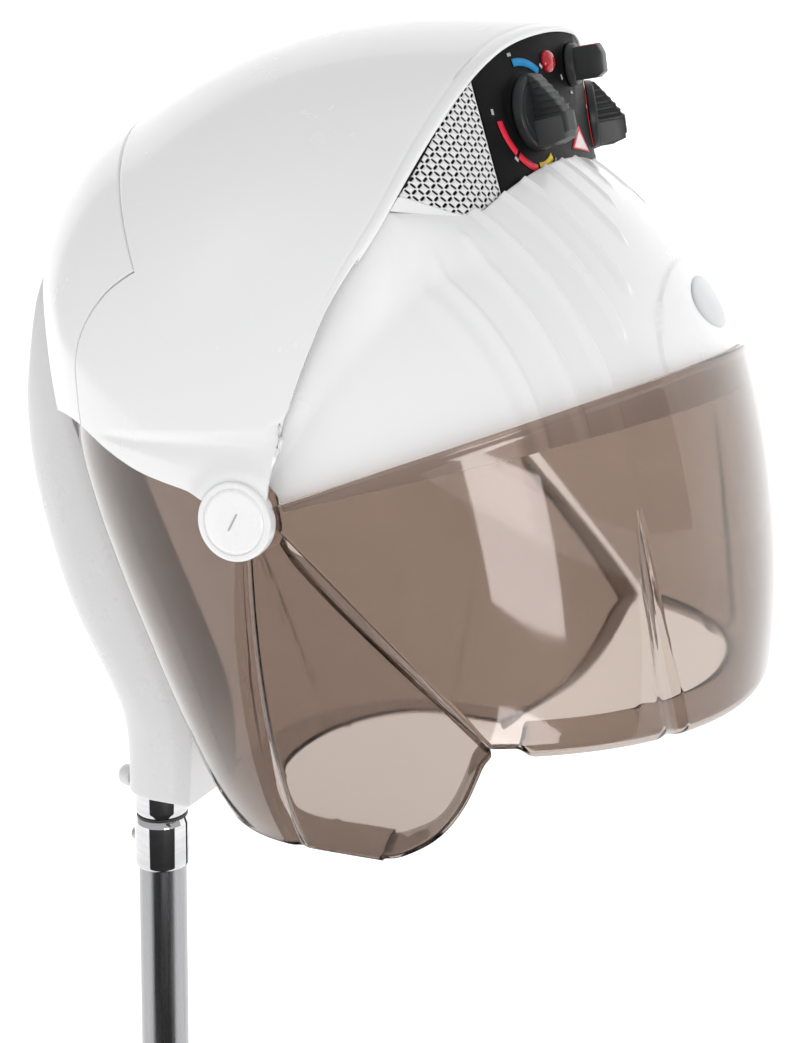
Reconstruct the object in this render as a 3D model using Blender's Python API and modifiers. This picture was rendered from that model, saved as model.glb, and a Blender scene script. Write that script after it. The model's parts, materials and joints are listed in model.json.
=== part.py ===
"""Hood hair dryer: a blower hood with a swing-up visor, on a curved arm that swivels on a column.

All dimensions below are millimetres, turned into metres when a mesh is made. +Z is up, the wearer's
face looks along -Y, and the column's axis is x = y = 0. The column is cut at z = 0.
"""
import math

import bmesh
import bpy
from mathutils import Matrix, Vector

MM = 0.001
GAP = 0.4                       # air left between pieces that touch on the real object

# Column and swivel
TUBE_R = 16.0
TUBE_WALL = 1.8
TUBE_TOP = 318.0
COLLAR_R = 18.6
COLLAR_Z = (221.0, 256.0)
SLEEVE_R = 18.0
SLEEVE_Z = (258.2, 345.0)

# Arm: height, rear edge and front edge in the plane of symmetry
ARM_HALF_WIDTH = 26.0
ARM_WALL = 2.2
ARM_BOTTOM = 276.0
ARM_REAR = ((276, 20.8), (308, 21.2), (330, 25), (351, 35), (397, 61), (437, 76.5), (492, 91), (532, 94),
            (573, 88), (607, 79), (634, 69))
ARM_FRONT = ((276, -36), (325, -37), (351, -31), (386, -16), (440, 10), (500, 37), (544, 54), (576, 60),
             (608, 61), (634, 56))
ARM_COVER_TOP = 574.0
GLAND_AT = (0.0, 21.4, 279.5)
GLAND_HOLE_R = 3.4
SPINE_R = 11.0

# Hood: a fan surface about a cross axis, its radius given by angle from straight ahead
HOOD_HALF_WIDTH = 205.0
HOOD_AXIS = (-180.0, 500.0)     # y, z
HOOD_REACH = 87.6               # degrees either side of the middle that the surface's columns span
HOOD_RADIUS = ((0, 262), (40, 268), (60, 273), (70.4, 274), (82.4, 272), (92.8, 269.5), (106.8, 269.5),
               (122.4, 271), (134, 276), (145, 268), (155.6, 241.7), (164.3, 222.3), (171.8, 210), (180, 203))
BROW_ANGLE = ((0, 70.5), (40, 71.5), (80, 73), (160, 73.8), (171, 74.6), (184, 77.2), (198, 80.5), (203, 84))
SKIRT_ANGLE = ((0, 169), (60, 168), (120, 165), (166, 160), (190, 159.5), (198, 156), (203, 148), (205, 140))
COVER_HALF_WIDTH = 168.0
COVER_ANGLE = 125.6
SHELL_WALL = 3.0
PANEL_SET_IN = 5.2

# Visor hinge and the front dome that the visor sweeps over
HINGE = (-166.0, 511.0)         # y, z
DOME_HALF_WIDTH = 194.6
DOME_RADIUS = 212.0
DOME_WALL = 2.5
ROUNDNESS = 2.2                 # exponent of the plan curve of dome and visor
DOME_ANGLES = (15.0, 57.6, 80.0)
DOME_SHOULDER = (126.0, 152.0)  # where the dome's crest climbs to the casing's edge
DOME_REACH = 0.993              # share of the half width that the dome's columns span
BADGE_ANGLE = 28.5
BADGE_HALF_TURN = 4.3
BADGE_HALF_WIDTH = 35.0
BADGE_THICKNESS = 0.8
BOSS_R = 21.5
BOSS_FACE = 207.5
EAR_R = 16.5
EAR_X = (199.6, 202.4)
PIVOT_R = 5.0
CAP_R = 16.2
CAP_X = (203.8, 208.2)
PIVOT_START_X = 183.0
WASHER_R = 12.0
WASHER_X = (193.6, 199.2)
NUT_R = 9.5
NUT_X = (183.4, 189.0)

# Visor
VISOR_HALF_WIDTH = 202.0
VISOR_RADIUS = 217.6
VISOR_WALL = 2.5
VISOR_TOP_ANGLE = 20.5
VISOR_BOTTOM_Z = 404.0
VISOR_BOTTOM_DEPTH = 227.0
VISOR_BOTTOM_HALF_WIDTH = 198.0
VISOR_CORNER_Y = -288.0
VISOR_BULGE = 9.0
VISOR_START = 2.6               # degrees in from the pole where the visor's top edge starts
VISOR_ROWS = 6
VISOR_COLUMNS = 27
VISOR_LIP = ((7.0, -7.0), (17.0, -8.0), (25.0, 4.0))    # rolled edge: inward, rise

# Rear bowl, by height
BOWL_WALL = 2.6
BOWL_CENTRE_Y = -166.0
BOWL_HALF_WIDTH = 193.0
BOWL_DROP = 271.0
BOWL_DEPTH = ((317, 95), (330, 100), (364, 112), (416, 134), (456, 154), (494, 172), (528, 184), (556, 184))
BOWL_FRONT = ((317, -214), (320, -224), (338, -248), (361, -266), (390, -280), (401, -284), (493, -190),
              (504, -185), (531, -180))
BOWL_TOP = (552.0, 531.0)
BOWL_RIM_Z = 317.0
BOWL_LIP = 34.0
BOWL_FLANGE = 18.0              # width of the turned-in front edges
BOWL_LEVELS = (1.0, 0.9, 0.8, 0.66, 0.5, 0.36, 0.2, 0.07, 0.0)
BOWL_COLUMNS = 31

# Tilt hinge
TILT = (38.0, 645.0)            # y, z
TILT_PIN_R = 5.0
TILT_PIN_LENGTH = 35.0
LUG_HALF_WIDTH = 9.5
LUG_R = 12.5
BRACKET_X = (10.2, 13.2)
BRACKET_R = 13.0
HINGE_COVER_R = 21.0
HINGE_COVER_ANGLES = (5.0, 112.0)

# Control panel and knobs
PANEL_HALF_WIDTH = 103.0
PANEL_WALL = 2.5
GRILLE_TIP_X = 151.0
FACE_TIP_X = 160.0              # where the control face would run out to a point
TIMER_PLACE = (-62.0, 0.42)     # across, and height up the control face from foot (0) to head (1)
TEMPERATURE_PLACE = (61.0, 0.55)
SPEED_PLACE = (-8.0, 0.79)
LAMP_PLACE = (-38.0, 0.79)
TIMER_AXIS = (-0.25, -0.95, 0.17)
TEMPERATURE_AXIS = (0.25, -0.95, 0.17)
SPEED_AXIS = (0.0, -0.99, 0.12)
KNOB_R = 20.5
KNOB_GRIP = (17.0, 37.0, 17.0)  # across, along, height
SPEED_KNOB_R = 12.0
SPEED_GRIP = (15.0, 17.0, 17.0)
GRIP_TAPER = (0.62, 0.86)
GRIP_TURN = 8.0
KNOB_FLANGE = 5.0
KNOB_LIFT = 1.4                 # from the control face to the underside of a knob
KNOB_SHAFT_R = 3.0
SHAFT_HOLE_R = 5.5
LAMP_R = 6.2

# Blower, heater and inner bonnet, about a vertical axis
FAN_Y = -166.0
CHASSIS_Z = 660.0
CHASSIS_R = 128.0
BONNET_R = 156.0
BONNET_Z = (552.0, 630.0)
FAN_CENTRE = (FAN_Y, 640.0)
FAN_CASE_R = 86.0
FAN_WHEEL_R = 72.0
FAN_BLADES = 12
MOTOR_R = 38.0
HEATER_SPAN = 150.0
COIL_R = 62.0
COIL_WIRE_R = 4.0


def clear_scene():
    for obj in list(bpy.data.objects):
        bpy.data.objects.remove(obj, do_unlink=True)


def collection(name, shown=True):
    made = bpy.data.collections.new(name)
    bpy.context.scene.collection.children.link(made)
    made.hide_render = not shown
    return made


def material(name, colour, roughness, metallic=0.0, alpha=1.0):
    made = bpy.data.materials.new(name)
    made.use_nodes = True
    shader = made.node_tree.nodes["Principled BSDF"]
    shader.inputs["Base Color"].default_value = (*colour, 1.0)
    shader.inputs["Roughness"].default_value = roughness
    shader.inputs["Metallic"].default_value = metallic
    shader.inputs["Alpha"].default_value = alpha
    return made


def through(knots, at):
    """Value at `at` of a smooth line through (position, value) knots, level beyond its ends."""
    places = [knot[0] for knot in knots]
    values = [knot[1] for knot in knots]
    if at <= places[0]:
        return values[0]
    if at >= places[-1]:
        return values[-1]
    i = max(j for j in range(len(places) - 1) if places[j] <= at)
    step = places[i + 1] - places[i]

    def slope(j):
        low = max(j - 1, 0)
        high = min(j + 1, len(places) - 1)
        return (values[high] - values[low]) / (places[high] - places[low])

    u = (at - places[i]) / step
    rise = values[i] * (1 + 2 * u) * (1 - u) ** 2 + values[i + 1] * u * u * (3 - 2 * u)
    lean = step * (slope(i) * u * (1 - u) ** 2 - slope(i + 1) * u * u * (1 - u))
    return rise + lean


def spaced(low, high, count):
    return [low + (high - low) * i / (count - 1) for i in range(count)]


def polar(centre, angle, radius):
    """(y, z) at an angle up from straight ahead, about a cross axis."""
    turn = math.radians(angle)
    return centre[0] - radius * math.cos(turn), centre[1] + radius * math.sin(turn)


def oval(across, half_width, power=ROUNDNESS):
    """Height of a unit superellipse at `across`, from 1 in the middle to 0 at half_width."""
    return (1 - min(1.0, abs(across) / half_width) ** power) ** (1 / power)


class Shop:
    """Makes meshes and keeps parts and cutters in their collections."""

    def __init__(self):
        self.parts = collection("hood_hair_dryer")
        self.cutters = collection("cutters", shown=False)
        self.count = 0
        self.pivot = None

    def hang_from(self, name, point):
        """Parents every part added from now on to an empty on its body's joint axis."""
        self.pivot = bpy.data.objects.new(name, None)
        self.pivot.location = metres(point)
        self.pivot.empty_display_size = 20 * MM
        self.parts.objects.link(self.pivot)

    def add(self, name, mesh, finish):
        obj = bpy.data.objects.new(name, mesh)
        self.parts.objects.link(obj)
        if self.pivot:
            obj.parent = self.pivot
            obj.matrix_parent_inverse = Matrix.Translation(-self.pivot.location)
        mesh.materials.append(finish)
        mesh.shade_smooth()
        mesh.set_sharp_from_angle(angle=math.radians(35))
        return obj

    def cutter(self, mesh):
        self.count += 1
        obj = bpy.data.objects.new(f"cutter_{self.count:02d}", mesh)
        self.cutters.objects.link(obj)
        obj.hide_render = True
        obj.display_type = "WIRE"
        return obj

    def boolean(self, obj, mesh, operation="DIFFERENCE"):
        modifier = obj.modifiers.new(operation.lower(), "BOOLEAN")
        modifier.operation = operation
        modifier.object = self.cutter(mesh)
        return obj


def finish_mesh(name, bm):
    bmesh.ops.recalc_face_normals(bm, faces=bm.faces)
    mesh = bpy.data.meshes.new(name)
    bm.to_mesh(mesh)
    bm.free()
    return mesh


def metres(point):
    return Vector(point) * MM


def turn_from_z(axis):
    return Vector((0, 0, 1)).rotation_difference(Vector(axis).normalized()).to_matrix().to_4x4()


def rod_mesh(start, axis, length, radius, end_radius=None, sides=24):
    """A cylinder or cone that starts at `start` and runs `length` along `axis`."""
    bm = bmesh.new()
    top = radius if end_radius is None else end_radius
    bmesh.ops.create_cone(bm, cap_ends=True, segments=sides, radius1=radius * MM, radius2=top * MM,
                          depth=length * MM)
    direction = Vector(axis).normalized()
    middle = Vector(start) + direction * (length / 2)
    place = Matrix.Translation(metres(middle)) @ turn_from_z(direction)
    bmesh.ops.transform(bm, matrix=place, verts=bm.verts)
    return finish_mesh("rod", bm)


def box_mesh(low, high):
    bm = bmesh.new()
    bmesh.ops.create_cube(bm, size=1.0)
    size = Vector(high) - Vector(low)
    place = Matrix.Translation(metres((Vector(low) + Vector(high)) / 2))
    bmesh.ops.transform(bm, matrix=place @ Matrix.Diagonal((*(size * MM), 1.0)), verts=bm.verts)
    return finish_mesh("box", bm)


def plate_mesh(outline, low_x, high_x):
    """A flat plate across X, from its outline in (y, z)."""
    bm = bmesh.new()
    corners = [bm.verts.new(metres((low_x, y, z))) for y, z in outline]
    face = bm.faces.new(corners)
    swept = bmesh.ops.extrude_face_region(bm, geom=[face])
    moved = [item for item in swept["geom"] if isinstance(item, bmesh.types.BMVert)]
    bmesh.ops.translate(bm, vec=metres((high_x - low_x, 0, 0)), verts=moved)
    return finish_mesh("plate", bm)


def sheet_mesh(rows, inside, closed=False):
    """An open sheet lofted through rows of points, its faces turned away from the point `inside`."""
    bm = bmesh.new()
    grid = [[bm.verts.new(metres(point)) for point in row] for row in rows]
    wrap = len(grid[0]) if closed else len(grid[0]) - 1
    for upper, lower in zip(grid, grid[1:]):
        for i in range(wrap):
            j = (i + 1) % len(upper)
            bm.faces.new((upper[i], upper[j], lower[j], lower[i]))
    bm.normal_update()
    centre = metres(inside)
    outward = sum(face.normal.dot(face.calc_center_median() - centre) * face.calc_area() for face in bm.faces)
    if outward < 0:
        bmesh.ops.reverse_faces(bm, faces=bm.faces)
    mesh = bpy.data.meshes.new("sheet")
    bm.to_mesh(mesh)
    bm.free()
    return mesh


def shell(shop, name, rows, inside, thickness, finish, closed=False):
    """A sheet thickened towards its inner side."""
    obj = shop.add(name, sheet_mesh(rows, inside, closed), finish)
    solid = obj.modifiers.new("wall", "SOLIDIFY")
    solid.thickness = thickness * MM
    solid.offset = -1.0
    solid.use_even_offset = True
    solid.use_quality_normals = True
    return obj


def turned(shop, name, profile, centre, finish, steps=32):
    """A solid of revolution about the vertical, from a closed (radius, z) outline run down its outer side."""
    bm = bmesh.new()
    verts = [bm.verts.new(metres((radius, 0, z))) for radius, z in profile]
    for first, second in zip(verts, verts[1:]):
        bm.edges.new((first, second))
    if profile[0][0] > 0:
        bm.edges.new((verts[-1], verts[0]))
    mesh = bpy.data.meshes.new(name)
    bm.to_mesh(mesh)
    bm.free()
    obj = shop.add(name, mesh, finish)
    screw = obj.modifiers.new("turn", "SCREW")
    screw.steps = steps
    screw.render_steps = steps
    screw.use_merge_vertices = True
    screw.merge_threshold = 0.0001
    screw.use_normal_calculate = False
    screw.use_smooth_shade = True
    obj.location = metres(centre)
    return obj


def ring(inner, outer, low, high):
    return [(outer, high), (outer, low), (inner, low), (inner, high)]


def set_origin(obj, point):
    """Moves an object's origin to a point on its joint's axis, leaving its shape where it is."""
    place = metres(point)
    obj.data.transform(Matrix.Translation(-place))
    obj.location = place


# Surfaces shared by several parts

def hood_point(across, angle):
    scale = math.sqrt(max(0.0, 1 - (across / HOOD_HALF_WIDTH) ** 2))
    y, z = polar(HOOD_AXIS, angle, through(HOOD_RADIUS, angle) * scale)
    return across, y, z


def hood_columns(count):
    """Places across the hood, close together near its poles, where the surface turns fastest."""
    reach = math.radians(HOOD_REACH)
    return [HOOD_HALF_WIDTH * math.sin(turn) for turn in spaced(-reach, reach, count)]


def dome_radius(across):
    return DOME_RADIUS * oval(across, DOME_HALF_WIDTH)


def dome_point(across, angle, proud=0.0):
    y, z = polar(HINGE, angle, dome_radius(across) + proud)
    return across, y, z


def brow_point(across, inset=0.0):
    """A point of the casing's front edge, or one set in from it towards the hood's axis."""
    scale = math.sqrt(1 - (across / HOOD_HALF_WIDTH) ** 2)
    angle = through(BROW_ANGLE, abs(across))
    y, z = polar(HOOD_AXIS, angle, through(HOOD_RADIUS, angle) * scale - inset * min(1.0, 2.2 * scale))
    return across, y, z


def panel_point(across, share):
    """A point of the control face, from the dome's crest (share 0) up to the casing's front edge (1)."""
    set_in = PANEL_SET_IN + 0.03 * max(0.0, abs(across) - PANEL_HALF_WIDTH)
    head = Vector(brow_point(across, set_in))
    if abs(across) <= DOME_SHOULDER[0]:
        foot = Vector(dome_point(across, DOME_ANGLES[1] + 1.4, 1.8))
    else:
        start = math.copysign(DOME_SHOULDER[0], across)
        tip = math.copysign(FACE_TIP_X, across)
        foot = Vector(dome_point(start, DOME_ANGLES[1] + 1.4, 1.8))
        foot = foot.lerp(Vector(brow_point(tip, set_in)), (across - start) / (tip - start))
    return tuple(foot.lerp(head, share))


def bowl_half_width(z):
    return BOWL_HALF_WIDTH * math.sqrt(1 - (max(0.0, 515.0 - z) / BOWL_DROP) ** 2)


def bowl_point(around, z):
    """A point of the bowl's wall: around runs from -1 at its right front edge through the back to 1."""
    side = bowl_half_width(z)
    turn = abs(around)
    if turn <= 0.6:
        angle = turn / 0.6 * math.pi / 2
        x = side * math.sin(angle)
        y = BOWL_CENTRE_Y + through(BOWL_DEPTH, z) * math.cos(angle)
    else:
        y = BOWL_CENTRE_Y + (through(BOWL_FRONT, z) - BOWL_CENTRE_Y) * (turn - 0.6) / 0.4
        x = side * math.sqrt(1 - ((BOWL_CENTRE_Y - y) / 390.0) ** 2)
    return math.copysign(x, around), y, z


def control_places():
    """Where the timer, the temperature knob, the speed knob and the lamp sit on the control face."""
    return [panel_point(*place) for place in (TIMER_PLACE, TEMPERATURE_PLACE, SPEED_PLACE, LAMP_PLACE)]


# Column

def make_column(shop, finishes):
    bore = TUBE_R - TUBE_WALL
    turned(shop, "column_tube", ring(bore, TUBE_R, 4.0, TUBE_TOP), (0, 0, 0), finishes["tube"])
    plug = [(0, 30.0), (bore - GAP, 30.0), (bore - GAP, 4.0 - GAP), (TUBE_R, 4.0 - GAP), (TUBE_R, 0), (0, 0)]
    turned(shop, "column_foot_plug", plug, (0, 0, 0), finishes["nylon"])
    top = [(0, 324.0), (TUBE_R - 1.5, 324.0), (TUBE_R, 322.5), (TUBE_R, TUBE_TOP + GAP),
           (bore - GAP, TUBE_TOP + GAP), (bore - GAP, 298.0), (0, 298.0)]
    turned(shop, "column_top_plug", top, (0, 0, 0), finishes["nylon"])
    low, high = COLLAR_Z
    inner = TUBE_R + GAP
    collar = [(COLLAR_R - 1.5, high), (COLLAR_R, high - 4.0), (COLLAR_R, low + 2.0), (COLLAR_R - 1.6, low),
              (inner, low), (inner, high)]
    collar = turned(shop, "swivel_collar", collar, (0, 0, 0), finishes["chrome"])
    shop.boolean(collar, box_mesh((-1.0, -30.0, low - 1), (1.0, -10.0, high + 1)))
    washer = ring(inner, SLEEVE_R - 0.8, COLLAR_Z[1] + GAP, SLEEVE_Z[0] - GAP)
    turned(shop, "swivel_washer", washer, (0, 0, 0), finishes["nylon"])


def make_collar_screw(shop, finishes):
    height = sum(COLLAR_Z) / 2
    head = rod_mesh((0, COLLAR_R + GAP, height), (0, 1, 0), 3.2, 4.0)
    screw = shop.add("collar_screw", head, finishes["zinc"])
    shop.boolean(screw, rod_mesh((0, COLLAR_R + GAP + 1.6, height), (0, 1, 0), 3.0, 1.7, sides=6))


# Arm

def arm_section(z):
    """The arm's outer outline at one height, from its left front edge round the back to its right."""
    rear = through(ARM_REAR, z)
    front = through(ARM_FRONT, z)
    width = ARM_HALF_WIDTH - 6.0 * max(0.0, (z - 600.0) / 34.0)
    depth = min(30.0, (rear - front) * 0.6)
    points = [(-width, front, z), (-width, (front + rear - depth) / 2, z)]
    for turn in spaced(0, math.pi, 11):
        points.append((-width * math.cos(turn), rear - depth + depth * math.sin(turn) ** 0.9, z))
    points += [(width, (front + rear - depth) / 2, z), (width, front, z)]
    return points


def make_arm(shop, finishes):
    heights = spaced(ARM_BOTTOM, 330.0, 3) + spaced(352.0, 634.0, 9)
    sections = [arm_section(z) for z in reversed(heights)]
    arm = shell(shop, "arm_shell", sections, (0, -60, 450), ARM_WALL, finishes["white"])
    shop.boolean(arm, rod_mesh(GLAND_AT, (0, 1, 0), 60, GLAND_HOLE_R))
    shop.boolean(arm, rod_mesh(GLAND_AT, (0, -1, 0), 12, GLAND_HOLE_R))
    cover_width = ARM_HALF_WIDTH - ARM_WALL - GAP
    heights = spaced(ARM_BOTTOM, ARM_COVER_TOP, 11)
    rows = [[(x, through(ARM_FRONT, z) + 0.6, z) for x in spaced(-cover_width, cover_width, 3)]
            for z in heights]
    shell(shop, "arm_front_cover", rows, (0, 200, 400), 2.5, finishes["white"])
    low, high = SLEEVE_Z
    neck = SLEEVE_R - 0.4
    sleeve = [(neck, high), (neck, ARM_BOTTOM), (SLEEVE_R, ARM_BOTTOM - GAP), (SLEEVE_R, low + 3.0),
              (SLEEVE_R - 1.4, low), (TUBE_R + GAP, low), (TUBE_R + GAP, high)]
    turned(shop, "arm_sleeve", sleeve, (0, 0, 0), finishes["chrome"])
    base = box_mesh((-22.6, -32.0, ARM_BOTTOM + 1.0), (22.6, -4.0, ARM_BOTTOM + 4.0))
    plate = shop.add("arm_base_plate", base, finishes["white"])
    shop.boolean(plate, rod_mesh((0, 0, ARM_BOTTOM - 5), (0, 0, 1), 20, SLEEVE_R + GAP, sides=32))
    gland = [(0, 10.0), (4.6, 10.0), (6.6, 8.0), (7.6, 3.0), (7.6, 0), (0, 0)]
    gland = turned(shop, "cord_gland", gland, GLAND_AT, finishes["grey"], steps=20)
    gland.rotation_euler = (-math.pi / 2, 0, 0)
    shop.boolean(gland, rod_mesh((0, GLAND_AT[1] + 4.6, GLAND_AT[2]), (0, 1, 0), 12, 3.0, sides=12))


def make_spine(shop, finishes):
    """The steel tube inside the arm, and the lug at its head that carries the hood."""
    route = [(0, 0, 332), (0, 6, 350), (0, 24, 390), (0, 44, 440), (0, 64, 500), (0, 76, 552)]
    data = bpy.data.curves.new("spine", "CURVE")
    data.dimensions = "3D"
    data.bevel_depth = SPINE_R * MM
    data.bevel_resolution = 2
    data.use_fill_caps = True
    line = data.splines.new("POLY")
    line.points.add(len(route) - 1)
    for point, place in zip(line.points, route):
        point.co = (*metres(place), 1.0)
    guide = bpy.data.objects.new("spine_guide", data)
    shop.cutters.objects.link(guide)
    bpy.context.view_layer.update()
    mesh = bpy.data.meshes.new_from_object(guide.evaluated_get(bpy.context.evaluated_depsgraph_get()))
    bpy.data.objects.remove(guide, do_unlink=True)
    bm = bmesh.new()
    bm.from_mesh(mesh)
    bmesh.ops.remove_doubles(bm, verts=bm.verts, dist=0.00001)
    bm.to_mesh(mesh)
    bm.free()
    mesh.materials.clear()
    shop.add("arm_spine", mesh, finishes["steel"])
    y, z = TILT
    outline = [(y - 6, z - 10), (60, 604), (66, 560), (78, 560), (73, 600), (y + 12, z - 2)]
    lug = shop.add("tilt_lug", plate_mesh(outline, -LUG_HALF_WIDTH, LUG_HALF_WIDTH), finishes["steel"])
    shop.boolean(lug, rod_mesh((-LUG_HALF_WIDTH, y, z), (1, 0, 0), 2 * LUG_HALF_WIDTH, LUG_R), "UNION")
    shop.boolean(lug, rod_mesh((-20, y, z), (1, 0, 0), 40, TILT_PIN_R + GAP))


# Hood

def make_casing(shop, finishes):
    columns = hood_columns(27)
    rows = []
    for share in spaced(0, 1, 11):
        rows.append([hood_point(x, (1 - share) * through(BROW_ANGLE, abs(x))
                                + share * through(SKIRT_ANGLE, abs(x))) for x in columns])
    casing = shell(shop, "main_casing", rows, (0, *HOOD_AXIS), SHELL_WALL, finishes["white"])
    shop.boolean(casing, cover_wedge(COVER_HALF_WIDTH, COVER_ANGLE))
    for side in (-1, 1):
        shop.boolean(casing, cross_rod(side, (199, BOSS_FACE), BOSS_R), "UNION")
        shop.boolean(casing, cross_rod(side, (180, 203.2), BOSS_R - 2.5))
        shop.boolean(casing, box_mesh(*corner_pair((side * 190, -215, 490), (side * 203.2, -170, 534))))
        shop.boolean(casing, cross_rod(side, (195, 215), CAP_R + GAP))
    rear = shell(shop, "rear_cover", rows[1:], (0, *HOOD_AXIS), SHELL_WALL, finishes["white"])
    shop.boolean(rear, cover_wedge(COVER_HALF_WIDTH - 2 * GAP, COVER_ANGLE + 0.2), "INTERSECT")
    shop.boolean(rear, box_mesh((-22, TILT[0] - 40, TILT[1] - 34), (22, 120, TILT[1] + 23)))


def corner_pair(first, second):
    low = [min(a, b) for a, b in zip(first, second)]
    high = [max(a, b) for a, b in zip(first, second)]
    return low, high


def cover_wedge(half_width, angle):
    """The block of space behind the rear cover's upper seam and between its side seams."""
    outline = [polar(HOOD_AXIS, angle, reach) for reach in (60, 420)]
    outline += [(HOOD_AXIS[0] + 420, HOOD_AXIS[1] - 60), (HOOD_AXIS[0] + 34, HOOD_AXIS[1] - 60)]
    return plate_mesh(outline, -half_width, half_width)


def make_dome(shop, finishes):
    low = DOME_ANGLES[0]
    reach = DOME_REACH * DOME_HALF_WIDTH
    columns = [reach * math.sin(turn) for turn in spaced(-math.pi / 2, math.pi / 2, 25)]
    rows = []
    for share in spaced(0, 1, 7):
        rows.append([dome_point(x, low + share * (dome_crest(x) - low)) for x in columns])
    shell(shop, "front_dome", rows, (0, *HINGE), DOME_WALL, finishes["white"])


def dome_crest(across):
    """Angle where the dome ends: under the control face, or behind the casing's edge at the sides."""
    crest, side = DOME_ANGLES[1:]
    blend = min(1.0, max(0.0, (abs(across) - DOME_SHOULDER[0]) / (DOME_SHOULDER[1] - DOME_SHOULDER[0])))
    return crest + (side - crest) * blend * blend * (3 - 2 * blend)


def make_control_face(shop, finishes):
    columns = spaced(-PANEL_HALF_WIDTH, PANEL_HALF_WIDTH, 9)
    rows = [[panel_point(x, share) for x in columns] for share in spaced(0, 1, 4)]
    panel = shell(shop, "control_panel", rows, (0, *FAN_CENTRE), PANEL_WALL, finishes["black"])
    timer, temperature, speed, lamp = control_places()
    holes = ((timer, TIMER_AXIS, SHAFT_HOLE_R), (temperature, TEMPERATURE_AXIS, SHAFT_HOLE_R),
             (speed, SPEED_AXIS, SHAFT_HOLE_R), (lamp, SPEED_AXIS, LAMP_R + GAP))
    for at, axis, radius in holes:
        start = Vector(at) - Vector(axis).normalized() * 20
        shop.boolean(panel, rod_mesh(start, axis, 40, radius))
    for side, name in ((-1, "grille_right"), (1, "grille_left")):
        columns = [side * x for x in spaced(PANEL_HALF_WIDTH + 0.8, GRILLE_TIP_X, 8)]
        rows = [[panel_point(x, share) for x in columns] for share in spaced(0, 1, 4)]
        shell(shop, name, rows, (0, *FAN_CENTRE), PANEL_WALL, finishes["grille"])


def make_badge(shop, finishes):
    """A blank oval plate that follows the dome's brow."""
    bm = bmesh.new()
    high = 0.3 + BADGE_THICKNESS
    loops = []
    for proud, share in ((0.3, 0.0), (0.3, 0.5), (0.3, 1.0), (high, 0.985), (high, 0.5), (high, 0.0)):
        loop = []
        for turn in spaced(0, math.tau, 29)[:28 if share else 1]:
            angle = BADGE_ANGLE + BADGE_HALF_TURN * share * math.sin(turn)
            point = dome_point(BADGE_HALF_WIDTH * share * math.cos(turn), angle, proud)
            loop.append(bm.verts.new(metres(point)))
        loops.append(loop)
    for near, far in zip(loops, loops[1:]):
        for i in range(28):
            j = (i + 1) % 28
            corners = (near[i % len(near)], near[j % len(near)], far[j % len(far)], far[i % len(far)])
            bm.faces.new(list(dict.fromkeys(corners)))
    shop.add("blank_badge", finish_mesh("blank_badge", bm), finishes["badge"])


def make_knob(shop, name, at, axis, radius, grip, finish):
    """A control knob: a flange, a pointer grip across it, and a shaft behind."""
    direction = Vector(axis).normalized()
    base = Vector(at) + direction * KNOB_LIFT
    knob = shop.add(name, rod_mesh(base, axis, KNOB_FLANGE, radius, radius - 1.5, sides=28), finish)
    width, length, height = grip
    bm = bmesh.new()
    bmesh.ops.create_cube(bm, size=1.0)
    bmesh.ops.transform(bm, matrix=Matrix.Diagonal((width * MM, length * MM, height * MM, 1)), verts=bm.verts)
    for vert in bm.verts:
        if vert.co.z > 0:
            vert.co.x *= GRIP_TAPER[0]
            vert.co.y *= GRIP_TAPER[1]
    facing = turn_from_z(direction) @ Matrix.Rotation(math.radians(GRIP_TURN), 4, "Z")
    place = Matrix.Translation(metres(base + direction * (KNOB_FLANGE - 1 + height / 2))) @ facing
    bmesh.ops.transform(bm, matrix=place, verts=bm.verts)
    shop.boolean(knob, finish_mesh("grip", bm), "UNION")
    shaft = base - direction * 14.0
    shop.boolean(knob, rod_mesh(shaft, axis, 15.0, KNOB_SHAFT_R, sides=14), "UNION")
    set_origin(knob, at)


def make_controls(shop, finishes):
    timer, temperature, speed, lamp_place = control_places()
    make_knob(shop, "timer_knob", timer, TIMER_AXIS, KNOB_R, KNOB_GRIP, finishes["knob"])
    make_knob(shop, "temperature_knob", temperature, TEMPERATURE_AXIS, KNOB_R, KNOB_GRIP, finishes["knob"])
    make_knob(shop, "speed_knob", speed, SPEED_AXIS, SPEED_KNOB_R, SPEED_GRIP, finishes["knob"])
    start = Vector(lamp_place) - Vector(SPEED_AXIS).normalized() * 5
    lamp = rod_mesh(start, SPEED_AXIS, 8.0, LAMP_R, LAMP_R - 1.0, sides=20)
    shop.add("pilot_lamp", lamp, finishes["lamp"])
    for name, at, axis, size in (("timer_body", timer, TIMER_AXIS, (34, 34, 20)),
                                 ("thermostat_body", temperature, TEMPERATURE_AXIS, (32, 32, 18)),
                                 ("speed_switch_body", speed, SPEED_AXIS, (22, 16, 16))):
        make_switch_body(shop, name, at, axis, size, finishes["switch"])


def make_switch_body(shop, name, at, axis, size, finish):
    direction = Vector(axis).normalized()
    bm = bmesh.new()
    bmesh.ops.create_cube(bm, size=1.0)
    bmesh.ops.transform(bm, matrix=Matrix.Diagonal((*(Vector(size) * MM), 1)), verts=bm.verts)
    bmesh.ops.bevel(bm, geom=bm.edges[:], offset=1.5 * MM, segments=1, affect="EDGES")
    place = Matrix.Translation(metres(Vector(at) - direction * (8.2 + size[2] / 2))) @ turn_from_z(direction)
    bmesh.ops.transform(bm, matrix=place, verts=bm.verts)
    body = shop.add(name, finish_mesh(name, bm), finish)
    shop.boolean(body, rod_mesh(Vector(at) - direction * 13.5, axis, 10, 3.4, sides=14))


# Visor and its pivots

def visor_top(turn):
    x = -VISOR_HALF_WIDTH * math.copysign(abs(math.cos(turn)) ** (2 / ROUNDNESS), math.cos(turn))
    y, z = polar(HINGE, VISOR_TOP_ANGLE, VISOR_RADIUS * math.sin(turn) ** (2 / ROUNDNESS))
    return Vector((x, y, z))


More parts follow.
